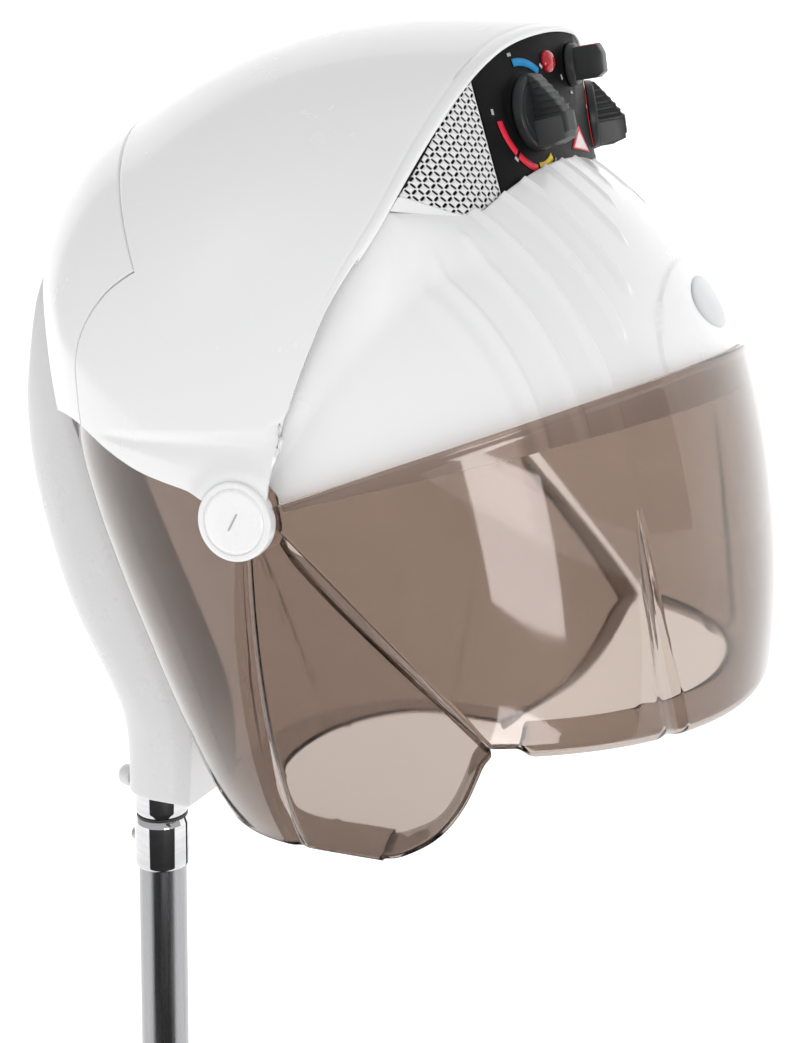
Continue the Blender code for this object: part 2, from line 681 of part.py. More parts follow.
def visor_bottom(share):
    """A point of the bottom edge: share runs from 0 at the right corner to 1 at the left."""
    corner = math.asin(((HINGE[0] - VISOR_CORNER_Y) / VISOR_BOTTOM_DEPTH) ** (ROUNDNESS / 2))
    turn = corner + share * (math.pi - 2 * corner)
    x = -VISOR_BOTTOM_HALF_WIDTH * math.copysign(abs(math.cos(turn)) ** (2 / ROUNDNESS), math.cos(turn))
    y = HINGE[0] - VISOR_BOTTOM_DEPTH * math.sin(turn) ** (2 / ROUNDNESS)
    return Vector((x, y, VISOR_BOTTOM_Z))


def visor_rows(heights, columns):
    start = math.radians(VISOR_START)
    rows = []
    for level in spaced(0, 1, heights):
        row = []
        for share in spaced(0, 1, columns):
            point = visor_top(start + share * (math.pi - 2 * start)).lerp(visor_bottom(share), level)
            outward = Vector((point.x, point.y - HINGE[0], 0)).normalized()
            row.append(point + outward * VISOR_BULGE * 4 * level * (1 - level) * math.sin(math.pi * share))
        rows.append(row)
    return rows


def make_visor(shop, finishes):
    rows = visor_rows(VISOR_ROWS, VISOR_COLUMNS)
    for inward, rise in VISOR_LIP:
        row = []
        for share, point in zip(spaced(0, 1, VISOR_COLUMNS), rows[VISOR_ROWS - 1]):
            reach = min(1.0, max(0.02, (min(share, 1 - share) - 0.02) / 0.07))
            inner = Vector((-point.x, HINGE[0] - 40 - point.y, 0)).normalized()
            row.append(point + inner * inward * reach + Vector((0, 0, rise * reach)))
        rows.append(row)
    visor = shell(shop, "visor", rows, (0, HINGE[0] - 60, 480), VISOR_WALL, finishes["smoke"])
    for side in (-1, 1):
        shop.boolean(visor, cross_rod(side, EAR_X, EAR_R), "UNION")
        shop.boolean(visor, cross_rod(side, (190, 210), PIVOT_R + GAP, sides=24))
    set_origin(visor, (0, *HINGE))


def make_pivots(shop, finishes):
    for side, word in ((-1, "right"), (1, "left")):
        cap = cross_rod(side, CAP_X, CAP_R, CAP_R - 0.8)
        pivot = shop.add(f"visor_pivot_{word}", cap, finishes["white"])
        shop.boolean(pivot, cross_rod(side, (PIVOT_START_X, CAP_X[0] + 0.7), PIVOT_R, sides=24), "UNION")
        washer = shop.add(f"friction_washer_{word}", cross_rod(side, WASHER_X, WASHER_R, sides=24),
                          finishes["nylon"])
        nut = shop.add(f"pivot_nut_{word}", cross_rod(side, NUT_X, NUT_R, sides=6), finishes["zinc"])
        for piece in (washer, nut):
            shop.boolean(piece, cross_rod(side, (NUT_X[0] - 4, WASHER_X[1] + 4), PIVOT_R + GAP, sides=24))


def cross_rod(side, reach, radius, end_radius=None, sides=36):
    """A rod on the visor's hinge axis, from reach[0] out to reach[1] on one side (-1 right, 1 left)."""
    start = (side * reach[0], *HINGE)
    return rod_mesh(start, (side, 0, 0), reach[1] - reach[0], radius, end_radius, sides)


# Bowl

def bowl_rows(heights, columns):
    rows = []
    for level in heights:
        row = []
        for around in columns:
            back = max(0.0, 1 - abs(around) / 0.6)
            top = BOWL_TOP[1] + (BOWL_TOP[0] - BOWL_TOP[1]) * math.sin(back * math.pi / 2)
            row.append(bowl_point(around, BOWL_RIM_Z + (top - BOWL_RIM_Z) * level))
        rows.append(row)
    return rows


def make_bowl(shop, finishes):
    rows = bowl_rows(BOWL_LEVELS, spaced(-1, 1, BOWL_COLUMNS))
    body = []
    for level, row in zip(BOWL_LEVELS, rows):
        lip = BOWL_FLANGE * min(1.0, max(0.0, (0.86 - level) / 0.1))
        left = flange(row[0], lip)
        right = flange(row[-1], lip)
        body.append([left, *row, right])
    rim = body[-1]
    inner = [flange(point, BOWL_LIP * 0.5, 1.0) for point in rim]
    innermost = [flange(point, BOWL_LIP, 5.0) for point in rim]
    for row in (inner, innermost):
        row[0] = tuple(Vector(row[1]).lerp(Vector(row[0]), 0.6))
        row[-1] = tuple(Vector(row[-2]).lerp(Vector(row[-1]), 0.6))
    bowl = shell(shop, "rear_bowl", body + [inner, innermost], (0, -190, 430), BOWL_WALL, finishes["smoke"])
    for side in (-1, 1):
        shop.boolean(bowl, cross_rod(side, (180, 200), PIVOT_R + GAP, sides=24))


def flange(point, width, rise=0.0):
    """A point moved inwards, level, towards the middle of the opening."""
    x, y, z = point
    inward = Vector((-x, -195.0 - y, 0)).normalized() * width
    return x + inward.x, y + inward.y, z + rise


# Blower and heater

def make_bonnet(shop, finishes):
    low, high = BONNET_Z
    rows = []
    for turn in spaced(math.radians(16), math.pi / 2, 6):
        radius = BONNET_R * math.sin(turn)
        z = low + (high - low) * math.cos(turn)
        around = spaced(0, math.tau, 29)[:-1]
        rows.append([(radius * math.cos(a), FAN_Y + radius * math.sin(a), z) for a in around])
    rows.append([(1.1 * x, FAN_Y + 1.1 * (y - FAN_Y), z) for x, y, z in rows[-1]])
    shell(shop, "inner_bonnet", rows, (0, FAN_Y, low), 2.0, finishes["bonnet"], closed=True)


def make_blower(shop, finishes):
    centre = (0, FAN_Y, 0)
    z = CHASSIS_Z
    turned(shop, "chassis_plate", ring(46.0, CHASSIS_R, z, z + 2.0), centre, finishes["zinc"], steps=40)
    case = FAN_CASE_R
    housing = [(case, z + 34), (case, z + 2 + GAP), (50, z + 2 + GAP), (50, z + 4.4), (case - 2.5, z + 4.4),
               (case - 2.5, z + 31.6), (20, z + 31.6), (20, z + 34)]
    turned(shop, "fan_housing", housing, centre, finishes["zinc"], steps=36)
    rim = FAN_WHEEL_R
    wheel = [(0, z + 29.0), (rim, z + 29.0), (rim, z + 8.0), (rim - 12, z + 8.0), (rim - 12, z + 26.5),
             (12, z + 26.5), (12, z + 12.0), (0, z + 12.0)]
    impeller = turned(shop, "impeller", wheel, centre, finishes["grey"], steps=36)
    shop.boolean(impeller, rod_mesh((0, FAN_Y, z + 5), (0, 0, 1), 22, 2.9, sides=16))
    for i in range(FAN_BLADES):
        turn = math.tau * i / FAN_BLADES
        bite = Vector(((rim - 6) * math.cos(turn), FAN_Y + (rim - 6) * math.sin(turn), z + 15.5))
        shop.boolean(impeller, slot_mesh(bite, turn))
    motor = [(0, z + 76), (MOTOR_R - 12, z + 76), (MOTOR_R, z + 70), (MOTOR_R, z + 40), (18, z + 38),
             (18, z + 36), (0, z + 36)]
    turned(shop, "fan_motor", motor, centre, finishes["steel"], steps=28)
    shaft = rod_mesh((0, FAN_Y, z + 9), (0, 0, 1), 17.2, 2.5, sides=16)
    set_origin(shop.add("motor_shaft", shaft, finishes["steel"]), centre)


def slot_mesh(centre, turn):
    bm = bmesh.new()
    bmesh.ops.create_cube(bm, size=1.0)
    bmesh.ops.transform(bm, matrix=Matrix.Diagonal((26 * MM, 9 * MM, 9 * MM, 1)), verts=bm.verts)
    place = Matrix.Translation(metres(centre)) @ Matrix.Rotation(turn, 4, "Z")
    bmesh.ops.transform(bm, matrix=place, verts=bm.verts)
    return finish_mesh("slot", bm)


def make_heater(shop, finishes):
    z = CHASSIS_Z
    bm = bmesh.new()
    bmesh.ops.create_cube(bm, size=1.0)
    bmesh.ops.transform(bm, matrix=Matrix.Diagonal((HEATER_SPAN * MM, 3 * MM, 24 * MM, 1)), verts=bm.verts)
    bmesh.ops.transform(bm, matrix=Matrix.Translation(metres((0, FAN_Y, z - 13))), verts=bm.verts)
    frame = shop.add("heater_frame", finish_mesh("heater_frame", bm), finishes["mica"])
    reach = HEATER_SPAN / 2
    shop.boolean(frame, box_mesh((-1.5, FAN_Y - reach, z - 25), (1.5, FAN_Y + reach, z - 1)), "UNION")
    shop.boolean(frame, ring_mesh(COIL_R, COIL_WIRE_R + 0.9, 28, 8))
    coil = ring_mesh(COIL_R, COIL_WIRE_R, 28, 6)
    shop.add("heating_element", coil, finishes["steel"])
    cutout = box_mesh((20, FAN_Y + 22, z - 12), (36, FAN_Y + 34, z - GAP))
    shop.add("thermal_cutout", cutout, finishes["switch"])
    block = box_mesh((-70, FAN_Y + 78, z + 2 + GAP), (-44, FAN_Y + 94, z + 18))
    shop.add("terminal_block", block, finishes["switch"])


def ring_mesh(radius, thickness, sides, around):
    """A plain ring about the blower's axis, under the chassis plate."""
    bm = bmesh.new()
    loops = []
    for i in range(sides):
        turn = math.tau * i / sides
        loop = []
        for j in range(around):
            tip = math.tau * j / around
            reach = radius + thickness * math.cos(tip)
            z = CHASSIS_Z - 14 + thickness * math.sin(tip)
            loop.append(bm.verts.new(metres((reach * math.cos(turn), FAN_Y + reach * math.sin(turn), z))))
        loops.append(loop)
    for i in range(sides):
        this, after = loops[i], loops[(i + 1) % sides]
        for j in range(around):
            k = (j + 1) % around
            bm.faces.new((this[j], after[j], after[k], this[k]))
    return finish_mesh("ring", bm)


# Tilt hinge

def make_tilt_hinge(shop, finishes):
    y, z = TILT
    flat = CHASSIS_Z + 2 + GAP
    outline = [(-75, flat), (-75, flat + 14), (-20, flat + 14), (y - 16, z + 14), (y, z + 12), (y, z - 12),
               (y - 20, z + 2), (-34, flat)]
    inner, outer = BRACKET_X
    bracket = shop.add("tilt_bracket", plate_mesh(outline, -outer, -inner), finishes["zinc"])
    shop.boolean(bracket, plate_mesh(outline, inner, outer), "UNION")
    shop.boolean(bracket, box_mesh((-outer, -75, flat), (outer, -42, flat + 2.5)), "UNION")
    for side in (-1, 1):
        boss = rod_mesh((side * inner, y, z), (side, 0, 0), outer - inner, BRACKET_R)
        shop.boolean(bracket, boss, "UNION")
    shop.boolean(bracket, rod_mesh((-20, y, z), (1, 0, 0), 40, TILT_PIN_R + GAP))
    pin = rod_mesh((-TILT_PIN_LENGTH / 2, y, z), (1, 0, 0), TILT_PIN_LENGTH, TILT_PIN_R, sides=20)
    shop.add("tilt_pin", pin, finishes["steel"])
    rows = []
    for angle in spaced(*HINGE_COVER_ANGLES, 8):
        turn = math.radians(angle)
        back, rise = HINGE_COVER_R * math.cos(turn), HINGE_COVER_R * math.sin(turn)
        rows.append([(x, y + back, z + rise) for x in (-HINGE_COVER_R, HINGE_COVER_R)])
    shell(shop, "hinge_cover", rows, (0, y, z), 3.0, finishes["white"])


def main():
    clear_scene()
    shop = Shop()
    finishes = {
        "white": material("gloss_white", (0.86, 0.86, 0.86), 0.18),
        "smoke": material("smoked_plastic", (0.16, 0.11, 0.085), 0.06, alpha=0.6),
        "black": material("panel_black", (0.012, 0.012, 0.013), 0.35),
        "knob": material("knob_black", (0.035, 0.035, 0.037), 0.42),
        "grille": material("grille_weave", (0.55, 0.55, 0.55), 0.5),
        "lamp": material("lamp_red", (0.5, 0.01, 0.02), 0.15),
        "badge": material("badge_grey", (0.55, 0.57, 0.58), 0.3),
        "chrome": material("chrome", (0.8, 0.8, 0.8), 0.06, 1.0),
        "tube": material("satin_tube", (0.42, 0.42, 0.43), 0.3, 1.0),
        "steel": material("steel", (0.5, 0.5, 0.5), 0.35, 1.0),
        "zinc": material("zinc_plate", (0.6, 0.6, 0.58), 0.4, 1.0),
        "nylon": material("nylon_black", (0.03, 0.03, 0.03), 0.5),
        "grey": material("grey_plastic", (0.5, 0.5, 0.5), 0.4),
        "bonnet": material("bonnet_white", (0.75, 0.75, 0.74), 0.4),
        "switch": material("switch_plastic", (0.25, 0.2, 0.15), 0.45),
        "mica": material("mica_board", (0.6, 0.52, 0.4), 0.6),
    }
    make_column(shop, finishes)
    make_collar_screw(shop, finishes)
    make_arm(shop, finishes)
    make_spine(shop, finishes)
    shop.hang_from("hood_tilt_axis", (0, *TILT))
    make_casing(shop, finishes)
    make_dome(shop, finishes)
    make_control_face(shop, finishes)
    make_badge(shop, finishes)
    make_controls(shop, finishes)
    make_visor(shop, finishes)
    make_pivots(shop, finishes)
    make_bowl(shop, finishes)
    make_bonnet(shop, finishes)
    make_blower(shop, finishes)
    make_heater(shop, finishes)
    make_tilt_hinge(shop, finishes)
    bpy.context.view_layer.update()


main()
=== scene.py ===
"""Looks of the hood hair dryer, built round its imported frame.

Shapes are in millimetres and share their formulas with the part's source, on much finer grids.
"""
import json
import math
from contextlib import contextmanager

import bmesh
import bpy
import numpy as np
from mathutils import Matrix, Vector


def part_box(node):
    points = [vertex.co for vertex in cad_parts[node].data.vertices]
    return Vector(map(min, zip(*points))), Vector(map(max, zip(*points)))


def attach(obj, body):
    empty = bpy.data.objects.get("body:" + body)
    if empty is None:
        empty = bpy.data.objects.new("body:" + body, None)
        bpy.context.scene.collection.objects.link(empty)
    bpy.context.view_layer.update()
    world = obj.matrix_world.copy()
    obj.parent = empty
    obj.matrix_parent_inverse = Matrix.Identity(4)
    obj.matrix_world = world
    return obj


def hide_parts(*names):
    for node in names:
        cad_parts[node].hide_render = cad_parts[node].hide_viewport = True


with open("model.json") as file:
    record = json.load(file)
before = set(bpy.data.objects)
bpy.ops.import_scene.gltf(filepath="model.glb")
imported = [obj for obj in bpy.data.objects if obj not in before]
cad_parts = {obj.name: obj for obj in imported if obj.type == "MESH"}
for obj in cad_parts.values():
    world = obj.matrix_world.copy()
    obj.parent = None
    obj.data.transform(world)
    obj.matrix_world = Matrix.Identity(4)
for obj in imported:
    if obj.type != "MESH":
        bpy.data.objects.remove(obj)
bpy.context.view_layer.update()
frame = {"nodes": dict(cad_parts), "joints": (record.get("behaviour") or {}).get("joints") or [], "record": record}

MM = 0.001
JOINTS = {joint["name"]: joint for joint in frame["joints"]}
HINGE = np.array(JOINTS["visor_lift"]["pos_m"][1:]) / MM
TILT = np.array(JOINTS["hood_tilt"]["pos_m"][1:]) / MM

HOOD_HALF_WIDTH = 205.0
HOOD_AXIS = (-180.0, 500.0)
HOOD_RADIUS = ((0, 262), (40, 268), (60, 276), (70.4, 277.0), (82.4, 271.4), (92.8, 269.2), (106.8, 269.4),
               (122.4, 271), (134, 276), (145, 268), (155.6, 241.7), (164.3, 222.3), (171.8, 210), (180, 203))
BROW_ANGLE = ((0, 70.5), (40, 71.5), (80, 73), (160, 73.8), (171, 74.6), (184, 77.2), (198, 80.5), (203, 84))
SKIRT_ANGLE = ((0, 169), (60, 168), (120, 165), (166, 160), (190, 159.5), (198, 156), (203, 148), (205, 140))
COVER_HALF_WIDTH = 168.0
COVER_ANGLE = 125.6
DOME_HALF_WIDTH = 194.6
DOME_RADIUS = 212.0
ROUNDNESS = 2.2
DOME_LOW, DOME_CREST, DOME_SIDE = 15.0, 57.6, 80.0
SHOULDER = 126.0
BOSS_R, BOSS_FACE, CAP_R = 19.6, 207.4, 16.2
PANEL_HALF_WIDTH, GRILLE_TIP, FACE_TIP = 103.0, 151.0, 160.0
SET_IN = 5.2
VISOR_HALF_WIDTH, VISOR_RADIUS, VISOR_TOP_ANGLE = 202.0, 217.6, 20.5
VISOR_BOTTOM_Z, VISOR_DEPTH, VISOR_LOW_HALF_WIDTH, VISOR_CORNER_Y = 404.0, 227.0, 198.0, -288.0
VISOR_BULGE, VISOR_WALL = 8.9, 2.5
BOWL_Y, BOWL_HALF_WIDTH, BOWL_DROP, BOWL_RIM_Z = -166.0, 193.0, 271.0, 317.0
BOWL_DEPTH = ((317, 95), (330, 100), (364, 112), (416, 134), (456, 154), (494, 172), (528, 184), (556, 184))
BOWL_FRONT = ((317, -214), (320, -224), (338, -248), (361, -266), (390, -280), (401, -284), (493, -190),
              (504, -185), (531, -180))
BOWL_TOP = (552.0, 531.0)
ARM_HALF_WIDTH = 26.0
ARM_REAR = ((276, 20.8), (308, 21.2), (330, 25), (351, 35), (397, 61), (437, 76.5), (492, 91), (532, 94),
            (573, 88), (607, 79), (634, 69))
ARM_FRONT = ((276, -36), (325, -37), (351, -31), (386, -16), (440, 10), (500, 37), (544, 54), (576, 60),
             (608, 61), (634, 56))
FAN_Y = -166.0
SIDES = ((-1, "right"), (1, "left"))
INSIDE_HOOD = (0, FAN_Y, 640)
FACE_FOOT = (DOME_CREST + 1.4, 1.8)
BADGE_HALF_WIDTH, BADGE_ANGLE, BADGE_HALF_TURN = 35.0, 28.5, 4.3
FLUTE_PLACE = ((404, 99), (414, 101.5), (439, 108.4), (471, 115.5), (502, 119.8), (549, 123))
FLUTE_WIDTH = ((404, 17), (425, 14.5), (452, 9.5), (480, 6.5), (502, 5.0), (549, 4.0))
FLUTE_DEPTH = ((404, 2.6), (452, 1.7), (502, 0.7), (535, 0.2), (549, 0.0))
VISOR_LIP = ((1.0, -2.6), (2.8, -4.9), (5.4, -6.8), (8.6, -7.9), (12.4, -8.0), (16.2, -7.0), (19.6, -5.0), (22.2, -2.2),
             (23.8, 0.8), (24.6, 3.6))
BOWL_LIP = ((0.04, 0.0), (0.12, 0.25), (0.28, 0.5), (0.5, 0.7), (0.75, 0.85), (1.0, 1.0))
BOWL_FLANGE = ((0.6, -1.2), (1.8, -2.0), (3.6, -2.2), (7, -2.0), (12, -1.7), (18, -1.3), (25, -0.8), (31, -0.2),
               (34, 0.2))
OPENING_Y = -195.0
BONNET_TIP = math.radians(16)
SHARP_ANGLE = math.radians(35)
EDGE_STEPS = 5
PRINT_LIFT, PRINT_THICKNESS = 0.45, 0.25
WEAVE_PITCH = 3.05


# Numbers and curves

def through(knots, at):
    """Values at `at` of a smooth line through (position, value) knots, level beyond its ends."""
    xs, ys = np.array(knots, float).T
    at = np.clip(np.asarray(at, float), xs[0], xs[-1])
    i = np.clip(np.searchsorted(xs, at, side="right") - 1, 0, len(xs) - 2)
    low = np.maximum(np.arange(len(xs)) - 1, 0)
    high = np.minimum(np.arange(len(xs)) + 1, len(xs) - 1)
    slope = (ys[high] - ys[low]) / (xs[high] - xs[low])
    step = xs[i + 1] - xs[i]
    u = (at - xs[i]) / step
    rise = ys[i] * (1 + 2 * u) * (1 - u) ** 2 + ys[i + 1] * u * u * (3 - 2 * u)
    return rise + step * (slope[i] * u * (1 - u) ** 2 - slope[i + 1] * u * u * (1 - u))


def ease(value):
    value = np.clip(value, 0, 1)
    return value * value * (3 - 2 * value)


def oval(across, half_width, power=ROUNDNESS):
    return (1 - np.minimum(1.0, np.abs(across) / half_width) ** power) ** (1 / power)


def fan(x, centre, angle, radius):
    turn = np.radians(angle)
    x, y, z = np.broadcast_arrays(x, centre[0] - radius * np.cos(turn), centre[1] + radius * np.sin(turn))
    return np.stack([x, y, z], -1)


def hood(x, angle, drop=0.0):
    """A point of the casing's surface, or one `drop` nearer its axis."""
    scale = np.sqrt(np.maximum(0, 1 - (x / HOOD_HALF_WIDTH) ** 2))
    return fan(x, HOOD_AXIS, angle, through(HOOD_RADIUS, angle) * scale - drop * np.minimum(1, 2.2 * scale))


def brow(x, inset=0.0):
    return hood(x, through(BROW_ANGLE, np.abs(x)), inset)


def dome(x, angle, proud=0.0):
    return fan(x, HINGE, angle, DOME_RADIUS * oval(x, DOME_HALF_WIDTH) + proud)


def face(x, share):
    """A point of the control face, from the dome's crest (share 0) up to the casing's edge (share 1)."""
    x, share = np.broadcast_arrays(np.asarray(x, float), np.asarray(share, float))
    inset = SET_IN + 0.03 * np.maximum(0, np.abs(x) - PANEL_HALF_WIDTH)
    head = brow(x, inset)
    start = np.copysign(SHOULDER, x)
    tip = np.copysign(FACE_TIP, x)
    part = ((x - start) / (tip - start))[..., None]
    outer = dome(start, *FACE_FOOT) * (1 - part) + brow(tip, inset) * part
    foot = np.where((np.abs(x) > SHOULDER)[..., None], outer, dome(x, *FACE_FOOT))
    return foot + (head - foot) * share[..., None]


def sines(half_width, count, reach=90.0, extra=()):
    """Places across a rounded shape, closer together towards its ends, with some exact ones added."""
    places = half_width * np.sin(np.radians(np.linspace(-reach, reach, count)))
    extra = np.array([sign * place for place in extra for sign in (-1, 1)])
    return np.unique(np.round(np.concatenate([places, extra]), 4))


def unit(vectors):
    return vectors / np.linalg.norm(vectors, axis=-1, keepdims=True)


def level_from(points, y):
    """Level unit vectors out of the line x = 0 at this y, to each point."""
    return unit(np.stack([points[:, 0], points[:, 1] - y, np.zeros(len(points))], -1))


def knob_joint(name):
    """Where a knob's joint sits, and the way out of the control face along it."""
    return np.array(JOINTS[name]["pos_m"]) / MM, unit(-np.array(JOINTS[name]["axis"]))


# Meshes

def linked(name, data):
    obj = bpy.data.objects.new(name, data)
    bpy.context.scene.collection.objects.link(obj)
    return obj


def new_object(name, mesh, body, finish, slot=None, replaces=()):
    """A visible piece that rides a body, and stands for the frame's nodes named in `replaces`."""
    obj = linked(name, mesh)
    mesh.materials.append(finish)
    mesh.shade_smooth()
    mesh.set_sharp_from_angle(angle=SHARP_ANGLE)
    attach(obj, body)
    if replaces:
        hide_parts(*replaces)
    return obj


@contextmanager
def editing(mesh):
    """The mesh as a bmesh, written back at the end."""
    bm = bmesh.new()
    bm.from_mesh(mesh)
    yield bm
    bm.to_mesh(mesh)
    bm.free()


def grid_faces(rows, columns, closed=False, start=0, keep=None):
    wrap = columns if closed else columns - 1
    r, c = np.meshgrid(np.arange(rows - 1), np.arange(wrap), indexing="ij")
    after = (c + 1) % columns
    quads = np.stack([r * columns + c, r * columns + after, (r + 1) * columns + after, (r + 1) * columns + c], -1)
    quads = quads[keep] if keep is not None else quads.reshape(-1, 4)
    return quads.reshape(-1, 4) + start


def mesh_from(name, points, faces):
    mesh = bpy.data.meshes.new(name)
    mesh.from_pydata((np.asarray(points) * MM).tolist(), [], [list(map(int, quad)) for quad in faces])
    mesh.validate()
    return mesh


def normals_of(grid, inside):
    along = np.gradient(grid, axis=0)
    across = np.gradient(grid, axis=1)
    normal = np.cross(along, across)
    normal /= np.maximum(1e-9, np.linalg.norm(normal, axis=-1))[..., None]
    if (normal * (grid - np.asarray(inside))).sum() < 0:
        normal = -normal
    return normal


def sheet(name, grid, inside, closed=False, keep=None):
    """An open sheet through a grid of points, facing away from `inside`."""
    rows, columns = grid.shape[:2]
    faces = grid_faces(rows, columns, closed, keep=keep)
    flat = grid.reshape(-1, 3)
    a, b, c = (flat[faces[:, i]] for i in (0, 1, 2))
    outward = (np.cross(b - a, c - a) * (a - np.asarray(inside))).sum()
    if outward < 0:
        faces = faces[:, ::-1]
    mesh = mesh_from(name, flat, faces)
    with editing(mesh) as bm:
        bmesh.ops.delete(bm, geom=[v for v in bm.verts if not v.link_faces], context="VERTS")
    return mesh


def walled(obj, thickness):
    solid = obj.modifiers.new("wall", "SOLIDIFY")
    solid.thickness = thickness * MM
    solid.offset = -1.0
    return obj


def skin(name, grid, inside, wall, bulge=0.5):
    """A closed shell: an outer sheet, an inner one set in by the wall, and a half-round edge between them."""
    rows, columns = grid.shape[:2]
    normal = normals_of(grid, inside)
    inner = grid - normal * wall
    ring = ([(0, c) for c in range(columns)] + [(r, columns - 1) for r in range(1, rows)]
            + [(rows - 1, c) for c in range(columns - 2, -1, -1)] + [(r, 0) for r in range(rows - 2, 0, -1)])
    points = [*grid.reshape(-1, 3), *inner.reshape(-1, 3)]
    count = rows * columns
    faces = grid_faces(rows, columns).tolist()
    faces += [quad[::-1] for quad in grid_faces(rows, columns, start=count).tolist()]
    loops = [[r * columns + c for r, c in ring]]
    away = []
    for r, c in ring:
        push = np.zeros(3)
        if r in (0, rows - 1):
            push += grid[r, c] - grid[1 if r == 0 else rows - 2, c]
        if c in (0, columns - 1):
            push += grid[r, c] - grid[r, 1 if c == 0 else columns - 2]
        push -= normal[r, c] * (push @ normal[r, c])
        away.append(push / max(1e-9, np.linalg.norm(push)))
    for step in range(1, EDGE_STEPS):
        turn = math.pi * step / EDGE_STEPS
        loops.append(range(len(points), len(points) + len(ring)))
        for (r, c), push in zip(ring, away):
            middle = (grid[r, c] + inner[r, c]) / 2
            points.append(middle + normal[r, c] * wall / 2 * math.cos(turn) + push * wall * bulge * math.sin(turn))
    loops.append([i + count for i in loops[0]])
    for near, far in zip(loops, loops[1:]):
        faces += [[near[i], near[i - 1], far[i - 1], far[i]] for i in [*range(1, len(near)), 0]]
    mesh = mesh_from(name, points, faces)
    with editing(mesh) as bm:
        bmesh.ops.remove_doubles(bm, verts=bm.verts, dist=1e-6)
        bmesh.ops.recalc_face_normals(bm, faces=bm.faces)
    return mesh


def rounded(profile, radius=0.5, steps=4):
    """A closed outline with its corners rounded off."""
    points = [np.array(p, float) for p in profile]
    made = []
    for i, corner in enumerate(points):
        before, after = points[i - 1], points[(i + 1) % len(points)]
        u, v = before - corner, after - corner
        reach = min(radius, np.linalg.norm(u) * 0.45, np.linalg.norm(v) * 0.45)
        if reach < 0.02 or corner[0] <= 0.001:
            made.append(corner)
            continue
        a = corner + u / np.linalg.norm(u) * reach
        b = corner + v / np.linalg.norm(v) * reach
        for t in np.linspace(0, 1, steps):
            made.append(a * (1 - t) ** 2 + corner * 2 * t * (1 - t) + b * t * t)
    return made


def mesh_of(name, bm):
    mesh = bpy.data.meshes.new(name)
    bm.to_mesh(mesh)
    bm.free()
    return mesh


def turned_mesh(name, profile, steps=96, place=None, radius=0.5):
    """A solid of revolution about Z from a closed (radius, height) outline."""
    outline = rounded(profile, radius)
    bm = bmesh.new()
    loops = []
    for r, z in outline:
        if r <= 0.001:
            loops.append([bm.verts.new((0, 0, z * MM))])
        else:
            loops.append([bm.verts.new((r * MM * math.cos(math.tau * i / steps),
                                        r * MM * math.sin(math.tau * i / steps), z * MM)) for i in range(steps)])
    for near, far in zip(loops, loops[1:] + loops[:1]):
        for i in range(steps):
            j = (i + 1) % steps
            corners = [near[i % len(near)], near[j % len(near)], far[j % len(far)], far[i % len(far)]]
            corners = list(dict.fromkeys(corners))
            if len(corners) > 2:
                bm.faces.new(corners)
    if place is not None:
        bmesh.ops.transform(bm, matrix=place, verts=bm.verts)
    bmesh.ops.recalc_face_normals(bm, faces=bm.faces)
    return mesh_of(name, bm)


def vector(values, scale=1.0):
    return Vector([float(c) * scale for c in values])


def at(point, axis=(0, 0, 1)):
    """Carries a shape made about +Z to this point, in millimetres, with its Z along the axis."""
    turn = Vector((0, 0, 1)).rotation_difference(vector(axis).normalized()).to_matrix().to_4x4()
    return Matrix.Translation(vector(point, MM)) @ turn


def skin_piece(name, grid, inside, wall, bulge, *piece):
    return new_object(name, skin(name, np.asarray(grid, float), inside, wall, bulge), *piece)


def turned_piece(name, outline, shape, *piece):
    return new_object(name, turned_mesh(name, outline, **shape), *piece)


def span(node):
    """The lowest and highest Z of a frame node, in millimetres."""
    return [corner.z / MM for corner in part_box(node)]


def join(name, *meshes):
    bm = bmesh.new()
    for mesh in meshes:
        bm.from_mesh(mesh)
    return mesh_of(name, bm)


# Materials

class Nodes:
    """A material's nodes, wired by short calls."""

    def __init__(self, name):
        self.material = bpy.data.materials.new(name)
        self.material.use_nodes = True
        self.tree = self.material.node_tree
        self.shader = self.tree.nodes["Principled BSDF"]
        self.out = self.tree.nodes["Material Output"]
        self.space = self.new("ShaderNodeTexCoord").outputs["Object"]

    def new(self, kind, **inputs):
        node = self.tree.nodes.new(kind)
        for key, value in inputs.items():
            node.inputs[key.replace("_", " ")].default_value = value
        return node

    def link(self, source, target):
        self.tree.links.new(source, target)

    def stretched(self, scale):
        mapping = self.new("ShaderNodeMapping", Scale=scale)
        self.link(self.space, mapping.inputs["Vector"])
        return mapping.outputs["Vector"]

    def noise(self, scale, detail=3.0, rough=0.5, space=None):
        node = self.new("ShaderNodeTexNoise", Scale=scale, Detail=detail, Roughness=rough)
        self.link(space or self.space, node.inputs["Vector"])
        return node.outputs["Fac"]

    def ramp(self, fac, *stops):
        node = self.tree.nodes.new("ShaderNodeValToRGB")
        elements = node.color_ramp.elements
        while len(elements) < len(stops):
            elements.new(0.5)
        for element, (place, colour) in zip(elements, stops):
            element.position = place
            element.color = (*colour, 1.0)
        self.link(fac, node.inputs["Fac"])
        return node.outputs["Color"]

    def spread(self, fac, low, high):
        node = self.new("ShaderNodeMapRange", From_Min=0.3, From_Max=0.7, To_Min=low, To_Max=high)
        self.link(fac, node.inputs["Value"])
        return node.outputs["Result"]

    def bump(self, height, strength, distance, below=None):
        node = self.new("ShaderNodeBump", Strength=strength, Distance=distance)
        self.link(height, node.inputs["Height"])
        if below is not None:
            self.link(below, node.inputs["Normal"])
        return node.outputs["Normal"]

    def set(self, **values):
        for key, value in values.items():
            self.shader.inputs[key.replace("_", " ")].default_value = value

    def drive(self, **sources):
        for key, source in sources.items():
            self.link(source, self.shader.inputs[key.replace("_", " ")])


def tint(colour, amount):
    return tuple(min(1.0, c * amount) for c in colour)


